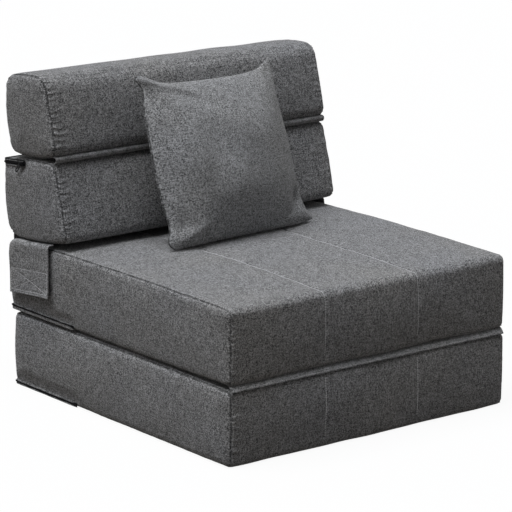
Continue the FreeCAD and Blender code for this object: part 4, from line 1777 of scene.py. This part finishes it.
@dataclass
class ThrowPillow:
    """Knife-edge pillow: two panels sewn together and blown up round their filling by a cloth simulation."""

    flat: float = 0.392
    height: float = 0.352
    thick: float = 0.150
    foot: tuple[float, float, float] = (0.012, 0.056, 0.321)
    turn: float = 4.0
    lean: float = 21.5
    cells: int = 64
    share_blown: float = 0.22
    top: tuple[Pair, ...] = ((-177, 361), (-162, 362), (-146, 353), (-118, 339), (-60, 334), (20, 331),
                             (100, 330), (148, 337), (168, 351), (181, 361))
    bottom: tuple[Pair, ...] = ((-188, 1), (-150, 0), (-100, 1), (0, 1), (90, 0), (150, 0), (192, 6))
    left: tuple[Pair, ...] = ((-188, 1), (-203, 15), (-185, 44), (-192, 100), (-189, 160), (-184, 236),
                              (-179, 292), (-167, 326), (-172, 343), (-184, 353), (-177, 361))
    right: tuple[Pair, ...] = ((192, 6), (175, 36), (170, 90), (174, 186), (172, 262), (179, 318),
                               (181, 361))
    folds: tuple[tuple[float, float, float, float, float, float], ...] = (
        (-104, 322, 62, 9, -26, 9.0),
        (-66, 294, 60, 18, -33, -7.0),
        (-163, 316, 9, 26, 8, -11.0),
        (150, 56, 25, 17, 42, -17.0),
        (164, 70, 30, 6, 74, 8.0),
        (122, 28, 30, 9, 18, -6.0),
        (-163, 44, 13, 20, -14, -7.0),
        (-138, 26, 34, 8, 24, 6.0),
        (-112, 180, 17, 110, 3, 6.0),
        (-60, 190, 22, 90, 0, -3.0),
        (158, 322, 9, 26, -12, -6.0),
    )
    grid: Array = field(default_factory=lambda: np.zeros((0, 3)))

    def placed(self, spots: Array) -> Array:
        """Points of the pillow's own frame, X across, Y through and Z up it, in the common one.

        Args:
            spots: The points, one row each.

        Returns:
            The same points in the common frame.
        """
        place = Matrix.Translation(Vector(self.foot)) @ Matrix.Rotation(math.radians(self.turn), 4, "Z")
        place = place @ Matrix.Rotation(-math.radians(self.lean), 4, "X")
        turn = np.array(place.to_3x3())
        return spots @ turn.T + np.array(place.translation)

    def sewn(self) -> bpy.types.Object:
        """Two flat panels joined by a narrow seam allowance.

        Returns:
            The flat bag.
        """
        bag = gridded_cube("pillow_bag", (self.cells, 2, self.cells))
        flat = points_of(bag)
        half = self.flat / 2
        edge = np.maximum(np.abs(flat[:, 0]), np.abs(flat[:, 2]))
        puff = 0.003 + 0.010 * (1 - edge ** 4)
        move_to(bag, np.column_stack([flat[:, 0] * half, flat[:, 1] * puff, flat[:, 2] * half]))
        self.grid = flat
        return bag

    def blow_up(self, bag: bpy.types.Object) -> None:
        """Fill the bag by a cloth simulation with pressure and apply it.

        Args:
            bag: The flat bag.
        """
        only(bag)
        cloth = bag.modifiers.new("fill", "CLOTH")
        settings = cloth.settings
        settings.quality = 6
        settings.mass = 0.25
        settings.tension_stiffness = settings.compression_stiffness = 22
        settings.shear_stiffness = 8
        settings.bending_stiffness = 0.8
        settings.use_pressure = True
        settings.uniform_pressure_force = 5.0
        settings.effector_weights.gravity = 0.0
        cloth.collision_settings.use_collision = False
        cloth.point_cache.frame_start = 1
        cloth.point_cache.frame_end = 30
        scene, steps = bpy.context.scene, 26
        for step in range(1, steps + 1):
            scene.frame_set(step)
            bpy.context.view_layer.update()
        only(bag)
        bpy.ops.object.modifier_apply(modifier=cloth.name)
        scene.frame_set(1)

    def in_plane(self) -> Array:
        """Spread the panels between their four uneven edges, as (x, z) for each point of the bag.

        Returns:
            One row for each point, in metres.
        """
        across, up = (self.grid[:, 0] + 1) / 2, (self.grid[:, 2] + 1) / 2

        def edge(marks: Sequence[Pair], share: Array) -> Array:
            """Follow one edge, rounded between its marks.

            Args:
                marks: Marks along the edge, as pairs of millimetres.
                share: Shares of the way along it.

            Returns:
                Points in metres.
            """
            line = rounded(marks, 2)
            run = run_of(line)
            return read_off(share * run[-1], run, line)

        low, high = edge(self.bottom, across), edge(self.top, across)
        left, right = edge(self.left, up), edge(self.right, up)
        u, v = across[:, None], up[:, None]
        spread_out = (1 - v) * low + v * high + (1 - u) * left + u * right
        corners = np.array([self.bottom[0], self.bottom[-1], self.top[0], self.top[-1]]) * MM
        spread_out -= (1 - u) * (1 - v) * corners[0] + u * (1 - v) * corners[1]
        return spread_out - (1 - u) * v * corners[2] - u * v * corners[3]

    def shape(self, spots: Array) -> Array:
        """Bring the blown-up bag to the pillow's size and lay its ears, dents and folds.

        Args:
            spots: Points of the bag.

        Returns:
            Points in the pillow's own frame, its foot at the origin.
        """
        blown = spots[:, 1] / (spots[:, 1].max() - spots[:, 1].min()) * self.thick
        flat = self.in_plane()
        hollow = (1 - self.grid[:, 0] ** 2).clip(0, 1) * (1 - self.grid[:, 2] ** 2).clip(0, 1)
        plain = np.sign(self.grid[:, 1]) * (0.003 + (self.thick / 2 - 0.003) * hollow ** 0.66)
        depth = plain * (1 - self.share_blown) + blown * self.share_blown
        front = self.grid[:, 1] < 0
        edge = np.maximum(np.abs(self.grid[:, 0]), np.abs(self.grid[:, 2]))
        depth = np.where(edge > 0.999, depth * 0.35, depth)
        inside = np.clip((1 - edge) / 0.10, 0, 1)
        spot = flat / MM
        for x, z, wide, high, turn, rise in self.folds:
            tilt = math.radians(turn)
            off = spot - (x, z)
            along = off[:, 0] * math.cos(tilt) + off[:, 1] * math.sin(tilt)
            beside = off[:, 1] * math.cos(tilt) - off[:, 0] * math.sin(tilt)
            share = np.exp(-((along / wide) ** 2) - (beside / high) ** 2) * inside
            depth = np.where(front, depth - rise * MM * share, depth)
        plump = np.clip(1 - edge ** 3, 0, 1)
        depth += 0.0030 * plump * ripple(flat, 0.20, 0.08, 12, 21) * np.where(front, 1, -1)
        up = np.clip(flat[:, 1] / self.height, 0, 1)
        lens = 0.006 + (self.thick - 0.006) * np.sin(math.pi * up) ** 0.62
        limit = lens / 2 * (1 - np.clip(np.abs(flat[:, 0]) / 0.18, 0, 1) ** 2) + 0.002
        depth = np.where(front, np.minimum(depth, -0.0015 - 0.004 * inside), np.minimum(depth, limit))
        depth = np.where(np.abs(self.grid[:, 1]) < 0.5, 0.0, depth)
        return np.column_stack([flat[:, 0], depth, flat[:, 1]])

    def build(self) -> None:
        """Make the two panels and the filling."""
        bag = self.sewn()
        self.blow_up(bag)
        self.soften(bag, 5)
        move_to(bag, self.shape(points_of(bag)))
        self.soften(bag, 1)
        self.dress_bag(bag, points_of(bag))

    def soften(self, bag: bpy.types.Object, rounds: int) -> None:
        """Even out the bag's surface.

        Args:
            bag: The bag.
            rounds: How often it is evened out.
        """
        only(bag)
        smoothed = bag.modifiers.new("soften", "SMOOTH")
        smoothed.factor = 0.5
        smoothed.iterations = rounds
        bpy.ops.object.modifier_apply(modifier=smoothed.name)

    def dress_bag(self, bag: bpy.types.Object, local: Array) -> None:
        """Map the weave, split the bag into its panels and make the filling.

        Args:
            bag: The whole shaped bag.
            local: Its points in the pillow's own frame.
        """
        corners = corner_points(bag)
        half = self.flat / 2
        set_run(bag, (self.grid[:, [0, 2]] * half)[corners])
        edge = (1 - np.maximum(np.abs(self.grid[:, 0]), np.abs(self.grid[:, 2]))) * half
        rim = np.abs(self.grid[:, 1]) < 0.5
        set_gap(bag, np.where(rim, 0.0, edge + 0.0008))
        world = self.placed(local)
        seat_top = 0.3214 - 0.05 * world[:, 0] ** 2
        world[:, 2] = np.maximum(world[:, 2], seat_top)
        move_to(bag, world)
        faces = corners.reshape(-1, 4)
        back = (self.grid[faces, 1] > -0.5).all(axis=1)
        bag.name = bag.data.name = "pillow_front"
        rear = split_off(bag, back, "pillow_back")
        for piece, node in ((bag, "pillow_front_panel"), (rear, "pillow_back_panel")):
            apply_subdivision(piece, 1)
            apply_solid(piece, 0.0012, -1.0)
            smooth(piece)
            dress(piece, Finish.PILLOW)
            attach(piece, "pillow")
            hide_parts(node)
            report(piece, "pillow")
        self.build_filling(local)

    def build_filling(self, local: Array) -> None:
        """Make the fibre filling just inside the panels.

        Args:
            local: The bag's points in the pillow's own frame.
        """
        core = gridded_cube("pillow_fibre", (self.cells, 2, self.cells))
        half, reach = self.cells // 2, 0.93
        index = np.rint(self.grid[:, [0, 2]] * half).astype(int) + half
        middle = np.array([0.0, 0.0, self.height / 2])
        spots = (local - middle) * reach + middle
        inner = np.rint((index - half) * reach).astype(int) + half
        for sign in (-1, 1):
            chosen = self.grid[:, 1] * sign > 0.5
            table = np.zeros((self.cells + 1, self.cells + 1))
            table[index[chosen, 0], index[chosen, 1]] = sign * local[chosen, 1]
            for axis in (0, 1):
                table = np.minimum(table, np.minimum(np.roll(table, 1, axis), np.roll(table, -1, axis)))
            spots[chosen, 1] = sign * 0.75 * np.maximum(table[inner[chosen, 0], inner[chosen, 1]], 0.0004)
        move_to(core, self.placed(spots))
        only(core)
        with editing():
            bpy.ops.mesh.normals_make_consistent(inside=False)
        smooth(core)
        dress(core, Finish.FILLING)
        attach(core, "pillow")
        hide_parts("pillow_filling")
        report(core, "pillow")


# Studio


@dataclass(frozen=True)
class SoftSun:
    """Broad, even light from one direction, as from a large soft box."""

    name: str
    source: tuple[float, float, float]
    level: float
    spread: float
    tint: Tone = (0.975, 0.995, 1.03)

    def build(self) -> None:
        """Hang the light and point it."""
        light = bpy.data.lights.new(self.name, "SUN")
        light.energy = self.level * math.pi
        light.color = self.tint
        light.angle = math.radians(self.spread)
        holder = bpy.data.objects.new(self.name, light)
        bpy.context.scene.collection.objects.link(holder)
        holder.location = Vector(self.source) * 4
        holder.rotation_euler = (-Vector(self.source)).to_track_quat("-Z", "Y").to_euler()


@dataclass(frozen=True)
class Studio:
    """Pale floor, white surroundings, one broad lamp and the camera."""

    eye: tuple[float, float, float] = (-3.855, -4.984, 1.896)
    gaze: tuple[float, float, float] = (0.593, 0.767, -0.2456)
    lens: float = 224.8
    shift: float = -0.0074
    ambient: float = 0.184
    floor_size: float = 40.0

    def build(self) -> None:
        """Set up floor, lamp, world and camera."""
        nothing_selected()
        bpy.ops.mesh.primitive_plane_add(size=self.floor_size, location=(0, 0, 0))
        floor = named("floor")
        bpy.ops.object.transform_apply(location=True, rotation=True, scale=True)
        floor.data.materials.append(StudioFloor().dress())
        SoftSun("top_light", (-0.27, 0.01, 0.96), 0.95, 44.0).build()
        self.surround()
        camera = bpy.data.cameras.new("camera")
        camera.lens = self.lens
        camera.sensor_width = 36.0
        camera.shift_y = self.shift
        camera.clip_end = 100.0
        holder = bpy.data.objects.new("camera", camera)
        bpy.context.scene.collection.objects.link(holder)
        holder.location = self.eye
        holder.rotation_euler = Vector(self.gaze).to_track_quat("-Z", "Y").to_euler()
        bpy.context.scene.camera = holder
        bpy.context.scene.view_settings.view_transform = "Standard"

    def surround(self) -> None:
        """White surroundings for the eye, softer light for the object."""
        world = bpy.data.worlds.new("surroundings")
        bpy.context.scene.world = world
        sheet = NodeSheet(world.name, world)
        sockets = {"Value": sheet.seen(), "To Min": self.ambient, "To Max": 1.0}
        level = sheet.signal("ShaderNodeMapRange", {}, sockets)
        white = (1.0, 1.0, 1.0, 1.0)
        sky = sheet.signal("ShaderNodeBackground", {}, {"Color": white, "Strength": level})
        sheet.node("ShaderNodeOutputWorld", {}, {"Surface": sky})


BLOCKS = (
    Block("base", "base", Outline(((367, 0), (-367, 0), (-367, 154), (367, 154)), (8, 11, 12, 8),
                                  (0, 6, 4, 8), (0.3, 0.4, 0.8, 0.9)), FLAT, 100, quilted=True,
          side_swells=(0.011, 0.012), gather=0.0005),
    Block("seat", "seat", Outline(((376, 162), (-367, 162), (-367, 314), (376, 309)), (8, 12, 14, 16),
                                  (3, 6, 9, 11), (0.9, 0.3, 0.6, 1.0)), FLAT, 200, quilted=True,
          side_swells=(0.009, 0.005), gather=0.0005),
    Block("lower_back", "lower_back",
          Outline(((-8, 2), (-218, 2), (-189.8, 162), (-12, 162)), (30, 16, 10, 8), (7, 8, 7, 11),
                  (0.9, 0.3, 0.8, 0.95)), LEANT, 300, side_swells=(0.009, 0.012)),
    Block("upper_back", "upper_back",
          Outline(((-39.8, 178), (-201.8, 178), (-175.4, 329.5), (-38.8, 329.5)), (10, 18, 25, 22),
                  (9, 8, 6, 12), (0.95, 0.3, 0.9, 1.0)), LEANT, 400, side_swells=(0.011, 0.007),
          left_rise=0.007),
)

ZIP_LIPS = {
    "base": ((0.0006, -0.0062), 0.0032, 0.0030),
    "seat": ((-0.0010, -0.0056), 0.0034, 0.0018),
    # The lower back's tape reaches 7.8 mm above its coil, past the upper lip, so its black edge stands in as
    # a painted shadow line in the gap between the block's top seam and the lip.
    "lower_back": ((0.0044, -0.0058), 0.0012, 0.0078),
    "upper_back": ((0.0040, -0.0040), 0.0024),
}

STRIPS = (
    HingeStrip("front_strip", "front_hinge_strip", "seat", "base",
               ((-352, 164.5), (-360, 162.5), (-366, 157), (-369, 151)), seed=31),
    HingeStrip("back_strip", "back_hinge_strip", "upper_back", "lower_back",
               ((232, 504.5), (217, 505), (211, 503), (211, 498), (215, 493), (224, 491.5)), seed=32),
    HingeStrip("rear_strip", "rear_hinge_strip", "lower_back", "seat",
               ((377, 326), (380, 314), (379, 300), (376, 285)), 0.3385, seed=33),
)


def main() -> None:
    """Build the chair bed piece by piece."""
    logging.basicConfig(level=logging.INFO, format="%(message)s")
    for block in BLOCKS:
        block.build()
        if block.quilted:
            build_quilting(block)
        Zipper(block, *ZIP_LIPS[block.name]).build()
    for strip in STRIPS:
        strip.build()
    for side, sign, stand in (("left", -1, 0.3580), ("right", 1, 0.3548)):
        SideStrap(side, sign, stand).build()
    ThrowPillow().build()
    Studio().build()


if __name__ == "__main__":
    main()
